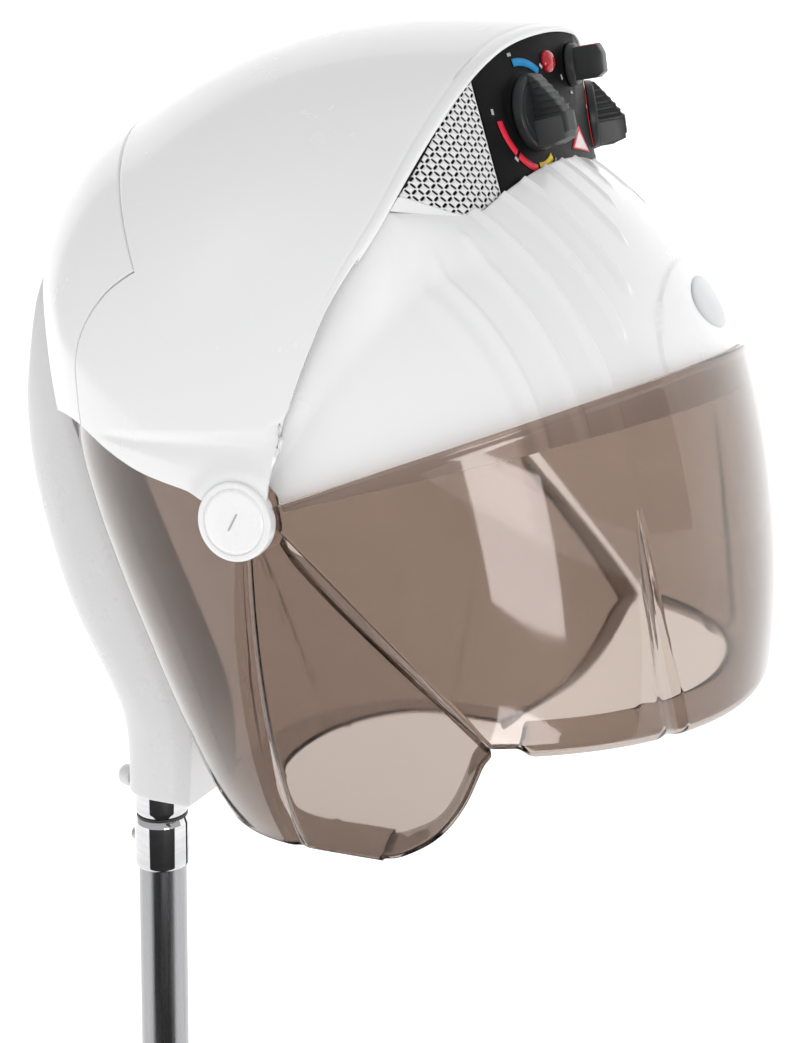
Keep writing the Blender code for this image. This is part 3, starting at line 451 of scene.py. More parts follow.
def moulded(name, colour, rough=(0.2, 0.3), coat=0.3, grain=0.00003, scale=900.0, shine=0.5):
    """Moulded plastic: a faint unevenness of colour and gloss, and a fine skin."""
    n = Nodes(name)
    n.drive(Base_Color=n.ramp(n.noise(9.0, 4.0), (0.3, tint(colour, 0.99)), (0.7, tint(colour, 1.005))))
    n.drive(Roughness=n.spread(n.noise(35.0, 5.0, 0.6), *rough))
    wave = n.bump(n.noise(26.0, 2.0), 0.05, 0.0004)
    n.drive(Normal=n.bump(n.noise(scale, 2.0), 0.25, grain, wave))
    n.set(Coat_Weight=coat, Coat_Roughness=0.06, IOR=1.5, Specular_IOR_Level=shine)
    return n.material


def smoked(name, colour, rough=(0.03, 0.07)):
    """Smoky clear plastic that lets light through to what is behind it."""
    n = Nodes(name)
    edge = n.new("ShaderNodeLayerWeight", Blend=0.5).outputs["Facing"]
    deep = n.ramp(edge, *[(place, tint(colour, amount)) for place, amount in
                          ((0.0, 1.0), (0.45, 0.95), (0.75, 0.62), (1.0, 0.25))])
    mix = n.tree.nodes.new("ShaderNodeMixRGB")
    mix.blend_type = "MULTIPLY"
    mix.inputs["Fac"].default_value = 1.0
    n.link(deep, mix.inputs["Color1"])
    n.link(n.ramp(n.noise(6.0, 3.0), (0.3, (0.95, 0.95, 0.95)), (0.7, (1.0, 1.0, 1.0))), mix.inputs["Color2"])
    n.drive(Base_Color=mix.outputs["Color"])
    n.drive(Roughness=n.spread(n.noise(22.0, 5.0, 0.6), *rough))
    n.drive(Normal=n.bump(n.noise(14.0, 2.0), 0.05, 0.0003))
    n.set(IOR=1.42, Transmission_Weight=1.0)
    clear = n.new("ShaderNodeBsdfTransparent", Color=(*[c ** 0.5 for c in colour], 1.0))
    path = n.new("ShaderNodeLightPath")
    mix = n.new("ShaderNodeMixShader")
    n.link(path.outputs["Is Shadow Ray"], mix.inputs["Fac"])
    n.link(n.shader.outputs["BSDF"], mix.inputs[1])
    n.link(clear.outputs["BSDF"], mix.inputs[2])
    n.link(mix.outputs["Shader"], n.out.inputs["Surface"])
    return n.material


def metal(name, colour, rough, stretch=(1, 1, 1), scale=60.0, strength=0.1):
    """Metal with streaks along one direction."""
    n = Nodes(name)
    streaks = n.noise(scale, 5.0, 0.6, n.stretched(stretch))
    n.drive(Base_Color=n.ramp(streaks, (0.3, tint(colour, 0.86)), (0.7, tint(colour, 1.1))))
    n.drive(Roughness=n.spread(streaks, *rough))
    n.drive(Normal=n.bump(streaks, strength, 0.0002))
    n.set(Metallic=1.0)
    return n.material


def printed(name, colour):
    """Printed ink on the control face."""
    n = Nodes(name)
    n.drive(Base_Color=n.ramp(n.noise(120.0, 4.0), (0.3, tint(colour, 0.9)), (0.7, tint(colour, 1.06))))
    n.drive(Roughness=n.spread(n.noise(300.0), 0.32, 0.5))
    n.set(Specular_IOR_Level=0.2)
    return n.material


WHITE = moulded("white_abs", (0.80, 0.80, 0.805), (0.2, 0.28), 0.35)
# The arm's white ABS is a darker copy of the casing's white: painted shade, so the arm reads greyer than the casing.
SHADED_ARM_WHITE = moulded("white_abs_arm_painted_shade", (0.66, 0.66, 0.665), (0.24, 0.34), 0.2)
PIVOT_WHITE = moulded("white_abs_cap", (0.83, 0.83, 0.835), (0.22, 0.32), 0.25)
SMOKE = smoked("smoked_visor", (0.46, 0.385, 0.34))
BOWL_SMOKE = smoked("smoked_bowl", (0.43, 0.36, 0.32))
PANEL = moulded("panel_black_face", (0.005, 0.005, 0.0055), (0.4, 0.5), 0.0, 0.00005, 1500.0, 0.06)
KNOB = moulded("knob_charcoal", (0.020, 0.021, 0.022), (0.3, 0.42), 0.0, 0.00006, 1800.0, 0.35)
KNOB_FACE = moulded("knob_grey", (0.045, 0.046, 0.048), (0.3, 0.42), 0.0, 0.00006, 1800.0, 0.4)
GRILLE = moulded("grille_white", (0.74, 0.74, 0.74), (0.3, 0.42), 0.15)
# Near-black finish for the sheet behind the grilles: painted shade seen through the slots.
GRILLE_SHADE = moulded("painted_shade_behind_grille", (0.012, 0.012, 0.012), (0.6, 0.8), 0.0)
BADGE = moulded("badge_satin", (0.50, 0.52, 0.53), (0.28, 0.4), 0.3)
LAMP = moulded("lamp_lens", (0.42, 0.006, 0.015), (0.12, 0.2), 0.4)
CHROME = metal("chrome_plate", (0.62, 0.62, 0.63), (0.03, 0.08), (1, 1, 6), 24.0, 0.03)
# Satin steel with a low base colour: partly the steel's own tone, partly painted shade for dark surroundings reflected
# in the tube.
TUBE_STEEL_SHADED = metal("satin_tube_steel_painted_shade", (0.36, 0.36, 0.37), (0.2, 0.34), (30, 30, 0.6), 12.0, 0.06)
STEEL = metal("plain_steel", (0.5, 0.5, 0.5), (0.3, 0.45), (1, 1, 8))
ZINC = metal("zinc_plated", (0.58, 0.58, 0.55), (0.32, 0.5), (1, 1, 1), 130.0)
NYLON = moulded("nylon_dark", (0.03, 0.03, 0.03), (0.45, 0.6), 0.0)
GREY = moulded("grey_moulding", (0.42, 0.42, 0.43), (0.4, 0.5), 0.1)
BONNET = moulded("bonnet_satin", (0.74, 0.74, 0.73), (0.4, 0.5), 0.05)
SWITCH = moulded("phenolic_brown", (0.12, 0.075, 0.045), (0.4, 0.55), 0.1)
MICA = moulded("mica_pressed", (0.52, 0.44, 0.32), (0.5, 0.7), 0.0, 0.0001, 500.0)
INK = {name: printed(f"ink_{name}", colour) for name, colour in (
    ("blue", (0.0, 0.235, 0.53)), ("red", (0.70, 0.02, 0.045)), ("yellow", (0.85, 0.60, 0.01)),
    ("grey", (0.42, 0.43, 0.44)), ("pale", (0.80, 0.66, 0.66)))}


# Casing

def scoop(points):
    """How far the moulded scoop over each pivot sinks: a crisp upper edge fading downwards."""
    x, y, z = points[..., 0], points[..., 1], points[..., 2]
    run = np.clip((-74 - y) / 104, 0, 1.6)
    upper = 547 + 7 * np.minimum(run, 1) + np.maximum(0, -178 - y) * 0.75
    width = 4 + 20 * np.minimum(run, 1)
    below = upper - z
    depth = 2.4 * ease(below / 6.0) * (1 - ease((below - 1.0) / width))
    ends = ease((-62 - y) / 30)
    return depth * ends * ease((np.abs(x) - 150) / 20)


def make_casing():
    x = sines(HOOD_HALF_WIDTH, 281, 87.6, (COVER_HALF_WIDTH, COVER_HALF_WIDTH - 0.8))
    first = through(BROW_ANGLE, np.abs(x))
    last = through(SKIRT_ANGLE, np.abs(x))
    wrap = ((2.2, 3.3), (0.5, 3.3), (0.12, 3.15), (0.0, 2.8), (0.0, 2.0), (0.05, 1.3), (0.16, 0.7), (0.34, 0.25),
            (0.6, 0.05), (0.85, 0.0), (1.2, 0.0), (1.5, 0.12), (1.68, 0.4), (1.85, 0.5), (2.02, 0.4), (2.2, 0.12),
            (2.5, 0.0), (3.1, 0.0))
    tucked = 1 - 0.85 * ease((np.abs(x) - 172) / 20)
    deeper = (1 + 0.022 * np.clip(np.abs(x) - PANEL_HALF_WIDTH, 0, 55)) * tucked
    rows = [hood(x, first + lean * (tucked if i < 3 else 1), drop * deeper) for i, (lean, drop) in enumerate(wrap)]
    for share in np.linspace(0, 1, 150)[1:]:
        rows.append(hood(x, (first + 3.1) * (1 - share) + COVER_ANGLE * share))
    split = len(rows) - 1
    for share in np.linspace(0, 1, 56)[1:]:
        rows.append(hood(x, COVER_ANGLE * (1 - share) + last * share))
    grid = np.array(rows)
    inside = (0, *HOOD_AXIS)
    outward = normals_of(grid, inside)
    grid = grid - outward * scoop(grid)[..., None]
    from_boss = np.hypot(grid[..., 1] - HINGE[0], grid[..., 2] - HINGE[1])
    swell = 3.4 * (1 - ease((from_boss - BOSS_R + 2) / 15)) * ease((np.abs(grid[..., 0]) - 180) / 15)
    grid[..., 0] = np.copysign(np.minimum(np.abs(grid[..., 0]) + swell, 205.3), grid[..., 0])
    keep = np.ones((len(grid) - 1, len(x) - 1), bool)
    middle = (x[1:] + x[:-1]) / 2
    keep[split:, np.abs(middle) < COVER_HALF_WIDTH] = False
    keep[:5, np.abs(middle) > 174] = False
    body = new_object("casing_shell", sheet("casing_shell", grid, inside, keep=keep), "hood", WHITE,
                      "gloss_white", ("main_casing",))
    walled(body, 2.4)
    keep = np.zeros_like(keep)
    keep[split:, np.abs(middle) < COVER_HALF_WIDTH - 0.8] = True
    low = grid.copy()
    low[split] = hood(x, np.full(len(x), COVER_ANGLE + 0.2))
    mesh = sheet("rear_cover_shell", low, inside, keep=keep)
    cut_window(mesh, (-22, -2, TILT[1] - 34), (22, 120, TILT[1] + 23))
    walled(new_object("rear_cover_shell", mesh, "hood", WHITE, "gloss_white", ("rear_cover",)), 2.4)
    boss = [(0, 200.5), (0, 206.7), (CAP_R + 0.25, 206.7), (CAP_R + 0.25, BOSS_FACE), (BOSS_R, BOSS_FACE),
            (BOSS_R, 200.0), (BOSS_R - 3, 198.0), (BOSS_R - 3, 200.5)]
    for side, word in SIDES:
        place = at((0, *HINGE), (side, 0, 0))
        mesh = turned_mesh("pivot_boss", boss, place=place, radius=1.6)
        new_object(f"pivot_boss_{word}", mesh, "hood", WHITE, "gloss_white")


def cut_window(mesh, low, high):
    """Removes the part of a mesh inside a box."""
    low, high = Vector(low) * MM, Vector(high) * MM

    def within(place, slack):
        return all(low[i] - slack < place[i] < high[i] + slack for i in range(3))

    with editing(mesh) as bm:
        for normal in ((1, 0, 0), (0, 0, 1)):
            for point in (low, high):
                near = [f for f in bm.faces if within(f.calc_center_median(), 0.008)]
                edges = {e for f in near for e in f.edges}
                verts = {v for f in near for v in f.verts}
                bmesh.ops.bisect_plane(bm, geom=[*verts, *edges, *near], plane_co=point, plane_no=normal, dist=1e-7)
        inner = [f for f in bm.faces if within(f.calc_center_median(), 0)]
        bmesh.ops.delete(bm, geom=inner, context="FACES")


# Dome

RIBS = ((159.0, 2.6, 1.4, 58, 8), (152.0, 1.7, 1.7, 58, 8), (138.5, 1.9, 2.5, 57, 10), (123.3, 1.9, 2.5, 70, 12),
        (105.6, 1.8, 2.3, 70, 27), (87.5, 1.8, 2.1, 70, 33), (64.8, 1.7, 1.8, 70, 40), (43.0, 1.6, 1.5, 70, 46),
        (21.5, 1.5, 1.3, 70, 49))


def dome_relief(x, angle):
    """Height of the dome's ribs and of the arch round its badge."""
    away = np.abs(x)
    height = np.zeros(np.broadcast(x, angle).shape)
    for place, width, rise, top, end in RIBS:
        ends = ease((angle - end) / 3.0) * ease((top + 1.5 - angle) / 3.0)
        height += rise * ends * np.exp(-((away - place) / width) ** 2)
    level = np.maximum(0, angle - 20.0) / 16.0
    inside = (away / 88.0) ** 2.3 + level ** 2.3
    return height + 1.2 * ease((1.03 - inside) / 0.05)


def dome_lift(x, angle):
    """How far the dome's shoulder rises to meet the control face and the casing's edge."""
    ends = np.where((np.abs(x) > FACE_TIP)[..., None], brow(x, 7.2), face(np.clip(x, -FACE_TIP, FACE_TIP), 0.0))
    reach = np.hypot(ends[..., 1] - HINGE[0], ends[..., 2] - HINGE[1])
    top = np.degrees(np.arctan2(ends[..., 2] - HINGE[1], HINGE[0] - ends[..., 1]))
    gap = np.maximum(0, reach - 0.9 - DOME_RADIUS * oval(x, DOME_HALF_WIDTH))
    gap = gap * (1 - 0.55 * ease((np.abs(x) - 164) / 20))
    return gap * ease((angle - top + 13) / 13), top


def make_dome():
    extra = [place + step for place, width, *_ in RIBS for step in np.arange(-3.2, 3.3, 0.55) * width / 1.2]
    x = sines(0.9972 * DOME_HALF_WIDTH, 165, 90, extra)
    top = dome_lift(x, np.zeros(len(x)))[1]
    crest = np.maximum(DOME_CREST, top - 1.3 + 2.3 * ease((np.abs(x) - 118) / 12))
    climb = ease((np.abs(x) - FACE_TIP) / 12)
    crest = crest + climb * np.maximum(0, DOME_SIDE - crest)
    rows = []
    for share in np.concatenate([np.linspace(0, 0.02, 4), np.linspace(0.03, 1, 130)]):
        angle = DOME_LOW + share * (crest - DOME_LOW)
        rows.append(dome(x, angle, dome_relief(x, angle) + dome_lift(x, angle)[0]))
    skin_piece("dome_shell", rows, (0, *HINGE), 2.5, 0.3, "hood", WHITE, "gloss_white", ("front_dome",))
    turns = np.radians(np.linspace(0, 360, 97)[:-1])
    rows = []
    for share, proud in ((0.0, 1.5), (0.3, 1.5), (0.6, 1.48), (0.85, 1.4), (0.94, 1.25), (0.98, 1.0), (1.0, 0.6),
                         (1.0, -0.4)):
        across = BADGE_HALF_WIDTH * share * np.cos(turns)
        angle = BADGE_ANGLE + BADGE_HALF_TURN * share * np.sin(turns)
        rows.append(dome(across, angle, proud + dome_relief(across, angle) * 0.8))
    mesh = sheet("badge_plate", np.array(rows), (0, *HINGE), closed=True)
    new_object("badge_plate", mesh, "hood", BADGE, "badge_grey", ("blank_badge",))


# Control face

def face_frame(place):
    """Centre, outward normal, up and right of the control face at (across, share)."""
    x, share = place
    centre = face(x, share)
    up = face(x, share + 0.02) - face(x, share - 0.02)
    side = face(x + 1, share) - face(x - 1, share)
    normal = unit(np.cross(side, up))
    if normal[1] > 0:
        normal = -normal
    up = unit(up)
    return centre, normal, up, np.cross(up, normal)


def patch(frame_at, outline, lift, name, finish):
    """A thin printed patch: rows of (right, up) pairs, laid over the control face and following its curve."""
    centre, normal, up, right = frame_at
    rows = []
    for pairs in outline:
        flat = np.array([centre + right * a + up * b for a, b in pairs])
        low, high = face(flat[:, 0], 0.0), face(flat[:, 0], 1.0)
        share = (flat[:, 2] - low[:, 2]) / (high[:, 2] - low[:, 2])
        rows.append(face(flat[:, 0], share) + normal * lift)
    walled(new_object(name, sheet(name, np.array(rows), centre - normal * 50), "hood", finish), PRINT_THICKNESS)


def arc(frame_at, start, end, radius, width, name, finish, middle=(0.0, 0.0)):
    """A printed arc round `middle`, between two angles in degrees."""
    turns = np.radians(np.linspace(start, end, 24))
    rows = []
    for reach in (radius - width / 2, radius + width / 2):
        rows.append([(middle[0] + reach * math.cos(t), middle[1] + reach * math.sin(t)) for t in turns])
    patch(frame_at, rows, PRINT_LIFT, name, finish)


def ticks(word, frame_at, turns, half, radius, width, middle=(0.0, 0.0)):
    for i, turn in enumerate(turns):
        arc(frame_at, turn - half, turn + half, radius, width, f"{word}_tick_{i}", INK["grey"], middle)


def make_control_face():
    x = np.linspace(-PANEL_HALF_WIDTH, PANEL_HALF_WIDTH, 181)
    shares = np.linspace(-0.075, 1.032, 71)
    grid = np.array([face(x, np.full(len(x), share)) for share in shares])
    for word, radius in (("timer", 20.0), ("temperature", 20.0), ("speed", 11.5)):
        centre, axis = knob_joint(word + "_turn")
        away = grid - centre
        height = away @ axis
        reach = np.linalg.norm(away - height[..., None] * axis, axis=-1)
        lift = np.maximum(0, 0.8 - height) * ease((radius + 2.5 - reach) / 3)
        grid = grid + lift[..., None] * axis
    skin_piece("control_face", grid, INSIDE_HOOD, 2.2, 0.3, "hood", PANEL, "panel_black", ("control_panel",))
    timer = face_frame((-62.0, 0.42))
    shift = (-2.0, -1.6)
    for name, start, end, radius, ink in (("blue", 56, 103, 27.6, "blue"), ("red_a", -173, -136, 28.8, "red"),
                                          ("red_b", -132, -97, 28.8, "red"), ("yellow", -92, -54, 27.6, "yellow")):
        arc(timer, start, end, radius, 4.2, f"timer_arc_{name}", INK[ink], shift)
    ticks("timer", timer, (104, 54, 178, -134, -95, -50), 2.6, 32.2, 1.8, shift)
    heat = face_frame((61.0, 0.55))
    arc(heat, 125, 245, 23.6, 2.6, "temperature_arc", INK["red"])
    ticks("temperature", heat, (112, 180, 256, 300, 60), 2.2, 27.5, 1.6)
    ticks("speed", face_frame((-8.0, 0.79)), (215, 270), 5, 17.0, 1.6)
    warning = face_frame((5.0, 0.2))
    for name, inset, lift, ink in (("border", 0.0, PRINT_LIFT, "red"), ("middle", 2.0, PRINT_LIFT + 0.3, "pale")):
        left, right = (-19.0 + inset * 1.6, -11.4 + inset * 0.4), (21.0 - inset * 2.2, -11.4 + inset * 0.4)
        top = (-4.6, 2.3 - inset * 1.6)
        rows = []
        for share in np.linspace(0, 1, 9):
            ends = [(corner[0] * (1 - share) + top[0] * share, corner[1] * (1 - share) + top[1] * share)
                    for corner in (left, right)]
            rows.append([(ends[0][0] * (1 - t) + ends[1][0] * t, ends[0][1]) for t in np.linspace(0, 1, 9)])
        patch(warning, rows[:-1] + [[(x + 0.02 * i, z) for i, (x, z) in enumerate(rows[-1])]], lift,
              f"plain_triangle_{name}", INK[ink])
    place = face_frame((-38.0, 0.79))
    lens = [(0, 2.6), (2.0, 2.5), (4.2, 1.8), (5.6, 0.6), (6.0, -0.2), (6.2, -4), (0, -4)][::-1]
    shape = {"steps": 48, "place": at(place[0] + place[1] * 1.2, place[1]), "radius": 0.4}
    turned_piece("lamp_lens", lens, shape, "hood", LAMP, "lamp_red", ("pilot_lamp",))


HALF_SECTION = ((-1.0, 0.0), (-0.98, 0.25), (-0.93, 0.6), (-0.87, 0.88), (-0.78, 0.97), (-0.6, 1.0), (-0.3, 1.0))
GRIP_SECTION = (*HALF_SECTION, (0.0, 1.0), *[(-across, up) for across, up in HALF_SECTION[::-1]])


def grip_mesh(name, width, length, height, ribs=0, ends=(0.55, 0.12), broad=0.42):
    """A pointer grip along +Y: a plain block at its foot, then a beak that falls away to its tip."""
    sections = []
    shares = np.unique(np.concatenate([np.linspace(0, 1, 90), np.linspace(0, 0.06, 8), np.linspace(0.94, 1, 8)]))
    for t in shares:
        rise = height * min(1.0, ends[0] + (1 - ends[0]) * float(ease(t / 0.16)))
        if t > broad:
            rise = height * (1 - (1 - ends[1]) * ((t - broad) / (1 - broad)) ** 1.15)
        rounding = math.sqrt(max(0.0, 1 - (1 - min(1.0, t / 0.03, (1 - t) / 0.03)) ** 2))
        half = width / 2 * (0.9 + 0.1 * rounding)
        rise = max(0.3, rise - 0.5 * (1 - rounding))
        groove = 0.0
        if ribs and t > broad:
            groove = abs(math.sin(math.pi * ribs * (t - broad) / (1 - broad))) ** 0.7
            half *= 0.94 - 0.10 * groove
            rise *= 1 - 0.07 * groove
        sections.append([(half * a, (t - 0.5) * length, rise * b) for a, b in GRIP_SECTION])
    grid = np.array(sections)
    rows, columns = grid.shape[:2]
    faces = grid_faces(rows, columns).tolist()
    faces += [list(range(columns)), list(range((rows - 1) * columns, rows * columns))[::-1]]
    mesh = mesh_from(name, grid.reshape(-1, 3), faces)
    with editing(mesh) as bm:
        bmesh.ops.holes_fill(bm, edges=bm.edges)
        bmesh.ops.recalc_face_normals(bm, faces=bm.faces)
    return mesh


def make_knobs():
    for word, radius, size, ribs in (("timer", 20.5, (15.5, 38, 17.5), 6), ("temperature", 20.5, (15.5, 38, 17.5), 6),
                                     ("speed", 12.0, (14.5, 18, 16.0), 0)):
        name = word + "_knob"
        place, axis = knob_joint(word + "_turn")
        base = at(place + axis * 1.4, axis)
        outline = [(0, 4.6), (radius - 5.2, 4.6), (radius - 4.9, 4.2), (radius - 4.4, 4.2), (radius - 4.1, 4.9),
                   (radius - 1.6, 4.9), (radius - 0.6, 4.0), (radius, 1.2), (radius, 0), (3.0, 0), (3.0, -12), (0, -12)]
        disc = turned_mesh(name, outline[::-1], 72, base, 0.35)
        direction = vector(axis)
        up = (Vector((0, 0, 1)) - direction * direction.z).normalized()
        turn = Matrix((up.cross(direction).normalized(), up, direction)).transposed().to_4x4()
        seat = Matrix.Translation(vector(place + axis * 5.2, MM)) @ turn
        seat = seat @ Matrix.Rotation(math.radians(8), 4, "Z")
        grip = grip_mesh("grip", *size, ribs) if ribs else grip_mesh("grip", *size, ends=(0.8, 0.86), broad=0.7)
        grip.transform(seat)
        new_object(name + "_moulding", join(name + "_moulding", disc, grip), name, KNOB, "knob_black", (name,))
        if ribs:
            block = grip_mesh("block", size[0] + 1.8, size[1] * 0.37, size[2] - 1.0, ends=(0.62, 0.97), broad=0.8)
            block.transform(seat @ Matrix.Translation((0, -size[1] * 0.305 * MM, 0)))
            new_object(name + "_pad", block, name, KNOB_FACE, "knob_black")
        else:
            mark = grip_mesh("mark", 2.6, 13.0, 0.7, ends=(0.9, 0.9))
            upright = Matrix.Rotation(math.radians(-90), 4, "X")
            mark.transform(seat @ Matrix.Translation((0, (size[1] / 2 - 0.3) * MM, 0.0078)) @ upright)
            new_object(name + "_mark", mark, name, INK["red"], "knob_black")


# Grilles

def weave_tile(bm, x, z, lean):
    """One square of the woven grille, in the (x, z) plane, with a slanting slot in it."""
    turn = math.radians(45 * lean)
    edge, hole = [], []
    for i in range(24):
        a = math.tau * i / 24
        c, s = math.cos(a), math.sin(a)
        k = WEAVE_PITCH / 2 / max(abs(c), abs(s))
        edge.append((c * k, s * k))
        along = math.cos(a - turn)
        u = 0.86 * max(-1.0, min(1.0, 2.4 * along)) + 0.66 * along
        v = 0.66 * math.sin(a - turn)
        hole.append((u * math.cos(turn) - v * math.sin(turn), u * math.sin(turn) + v * math.cos(turn)))
    outer = [bm.verts.new((x + a, 0, z + b)) for a, b in edge]
    inner = [bm.verts.new((x + a, 0, z + b)) for a, b in hole]
    for i in range(24):
        j = (i + 1) % 24
        bm.faces.new((outer[i], outer[j], inner[j], inner[i]))


def make_grilles():
    bm = bmesh.new()
    columns = np.arange(PANEL_HALF_WIDTH + 0.8, FACE_TIP, WEAVE_PITCH)
    rows = np.arange(650.0, 735.0, WEAVE_PITCH)
    low = face(np.clip(columns, 0, FACE_TIP), 0.0)[:, 2]
    high = face(np.clip(columns, 0, FACE_TIP), 1.0)[:, 2]
    for i, x in enumerate(columns):
        for j, z in enumerate(rows):
            if low[i] - 10 < z < high[i] + 6:
                weave_tile(bm, x + WEAVE_PITCH / 2, z, 1 if (i + j) % 2 else -1)
    bmesh.ops.remove_doubles(bm, verts=bm.verts, dist=0.01)
    ends = np.array([PANEL_HALF_WIDTH + 0.8, SHOULDER, GRILLE_TIP + 7])
    foot, head = face(ends, (-0.075, -0.075, 0.0)), face(ends, 1.028)
    foot[1:, 2] = 656.0, 667.5
    cuts = [(foot[0], (1, 0, 0)), (head[2], (-1, 0, 0))]
    for points, down in ((foot, 1), (head, -1)):
        for a, b in zip(points, points[1:]):
            cuts.append((a, np.array([-(b[2] - a[2]), 0, b[0] - a[0]]) * down))
    for point, inward in cuts:
        geom = [*bm.verts, *bm.edges, *bm.faces]
        bmesh.ops.bisect_plane(bm, geom=geom, plane_co=vector((point[0], 0, point[2])), plane_no=vector(inward),
                               clear_inner=True, dist=1e-5)
    plan = np.array([v.co for v in bm.verts], float)
    bm.verts.index_update()
    quads = [[v.index for v in f.verts] for f in bm.faces]
    bm.free()
    for side, word in SIDES:
        x = plan[:, 0] * side
        low, high = face(x, 0.0), face(x, 1.0)
        share = np.clip((plan[:, 2] - low[:, 2]) / (high[:, 2] - low[:, 2]), -0.2, 1.03)
        points = low + (high - low) * share[:, None]
        order = quads if side < 0 else [quad[::-1] for quad in quads]
        mesh = mesh_from(f"grille_mesh_{word}", points, order)
        obj = new_object(f"grille_mesh_{word}", mesh, "hood", GRILLE, "grille_weave", (f"grille_{word}",))
        with editing(mesh) as bm:
            bm.normal_update()
            if sum(f.normal.y for f in bm.faces) > 0:
                bmesh.ops.reverse_faces(bm, faces=bm.faces)
        walled(obj, 0.7)
        # A near-black sheet 2 mm behind each grille: painted shade, so the slots read dark.
        x = side * np.linspace(PANEL_HALF_WIDTH + 0.5, GRILLE_TIP + 7, 24)
        grid = np.array([face(x, np.full(len(x), share)) for share in np.linspace(-0.06, 0.98, 12)])
        grid = grid - normals_of(grid, INSIDE_HOOD) * 2.0
        back = new_object(f"grille_shade_sheet_{word}", sheet("grille_shade_sheet", grid, INSIDE_HOOD), "hood", GRILLE_SHADE)
        walled(back, 0.8)
        x = side * np.linspace(SHOULDER - 6, FACE_TIP, 30)
        low, high = face(x, 0.0), face(x, 1.0)
        line = 656.0 + (np.abs(x) - SHOULDER) * 11.5 / 32.0
        top = np.clip((line - low[:, 2]) / np.maximum(1.0, high[:, 2] - low[:, 2]), -0.05, 0.98)
        grid = np.array([face(x, -0.06 + (top + 0.06) * share) for share in np.linspace(0, 1, 8)])
        grid = grid + normals_of(grid, INSIDE_HOOD) * 0.25
        sill = new_object(f"grille_sill_{word}", sheet("grille_sill", grid, INSIDE_HOOD), "hood", WHITE)
        walled(sill, 0.9)


# Visor and bowl

def visor_grid():
    shares = np.unique(np.concatenate([np.linspace(0, 1, 161), np.linspace(0, 0.08, 25), 1 - np.linspace(0, 0.08, 25),
                                       np.linspace(0.20, 0.36, 130), 1 - np.linspace(0.20, 0.36, 130)]))
    start = math.radians(2.6)
    turn = start + shares * (math.pi - 2 * start)
    power = 2 / ROUNDNESS
    top = fan(-VISOR_HALF_WIDTH * np.copysign(np.abs(np.cos(turn)) ** power, np.cos(turn)), HINGE,
              VISOR_TOP_ANGLE, VISOR_RADIUS * np.sin(turn) ** power)
    corner = math.asin(((HINGE[0] - VISOR_CORNER_Y) / VISOR_DEPTH) ** (ROUNDNESS / 2))
    turn = corner + shares * (math.pi - 2 * corner)
    low = np.stack([-VISOR_LOW_HALF_WIDTH * np.copysign(np.abs(np.cos(turn)) ** power, np.cos(turn)),
                    HINGE[0] - VISOR_DEPTH * np.sin(turn) ** power, np.full(len(turn), VISOR_BOTTOM_Z)], -1)
    levels = np.concatenate([[0, 0.006, 0.012, 0.018, 0.025, 0.035], np.linspace(0.05, 1, 76)])
    rows = []
    for level in levels:
        row = top * (1 - level) + low * level
        outward = level_from(row, HINGE[0])
        swell = VISOR_BULGE * 4 * level * (1 - level) * np.sin(math.pi * shares)
        bead = 0.8 * ease((0.022 - level) / 0.012)
        place = (np.abs(row[:, 0]) - through(FLUTE_PLACE, row[:, 2])) / through(FLUTE_WIDTH, row[:, 2])
        flute = through(FLUTE_DEPTH, row[:, 2]) * ease(place / 0.42) * ease((1 - place) / 0.5)
        rows.append(row + outward * (swell + bead - flute)[:, None])
    base = rows[-1]
    ramp = np.maximum(ease((np.minimum(shares, 1 - shares) - 0.022) / 0.03), 0.04)
    inward = -level_from(base, HINGE[0] - 40)
    for reach, rise in VISOR_LIP:
        rows.append(base + inward * (reach * ramp)[:, None] + np.outer(ramp, (0, 0, rise)))
    return np.array(rows)


def make_visor():
    mesh = skin("visor_shell", visor_grid(), (0, HINGE[0] - 60, 480), VISOR_WALL)
    ears = []
    for side in (-1, 1):
        place = at((0, *HINGE), (side, 0, 0))
        ears.append(turned_mesh("ear", [(5.4, 199.6), (16.5, 199.6), (16.5, 202.4), (5.4, 202.4)], 64, place, 0.6))
    mesh = join("visor_shell", mesh, *ears)
    new_object("visor_shell", mesh, "visor", SMOKE, "smoked_plastic", ("visor",))


def bowl_half_width(z):
    return BOWL_HALF_WIDTH * np.sqrt(1 - (np.maximum(0.0, 515.0 - z) / BOWL_DROP) ** 2)


def bowl(around, z):
    side = bowl_half_width(z)
    turn = np.abs(around)
    angle = np.minimum(turn, 0.6) / 0.6 * math.pi / 2
    back_y = BOWL_Y + through(BOWL_DEPTH, z) * np.cos(angle)
    front_y = BOWL_Y + (through(BOWL_FRONT, z) - BOWL_Y) * np.maximum(0, turn - 0.6) / 0.4
    front_x = side * np.sqrt(1 - ((BOWL_Y - front_y) / 390.0) ** 2)
    x = np.where(turn <= 0.6, side * np.sin(angle), front_x)
    y = np.where(turn <= 0.6, back_y, front_y)
    return np.stack([np.copysign(x, around), y, z], -1)


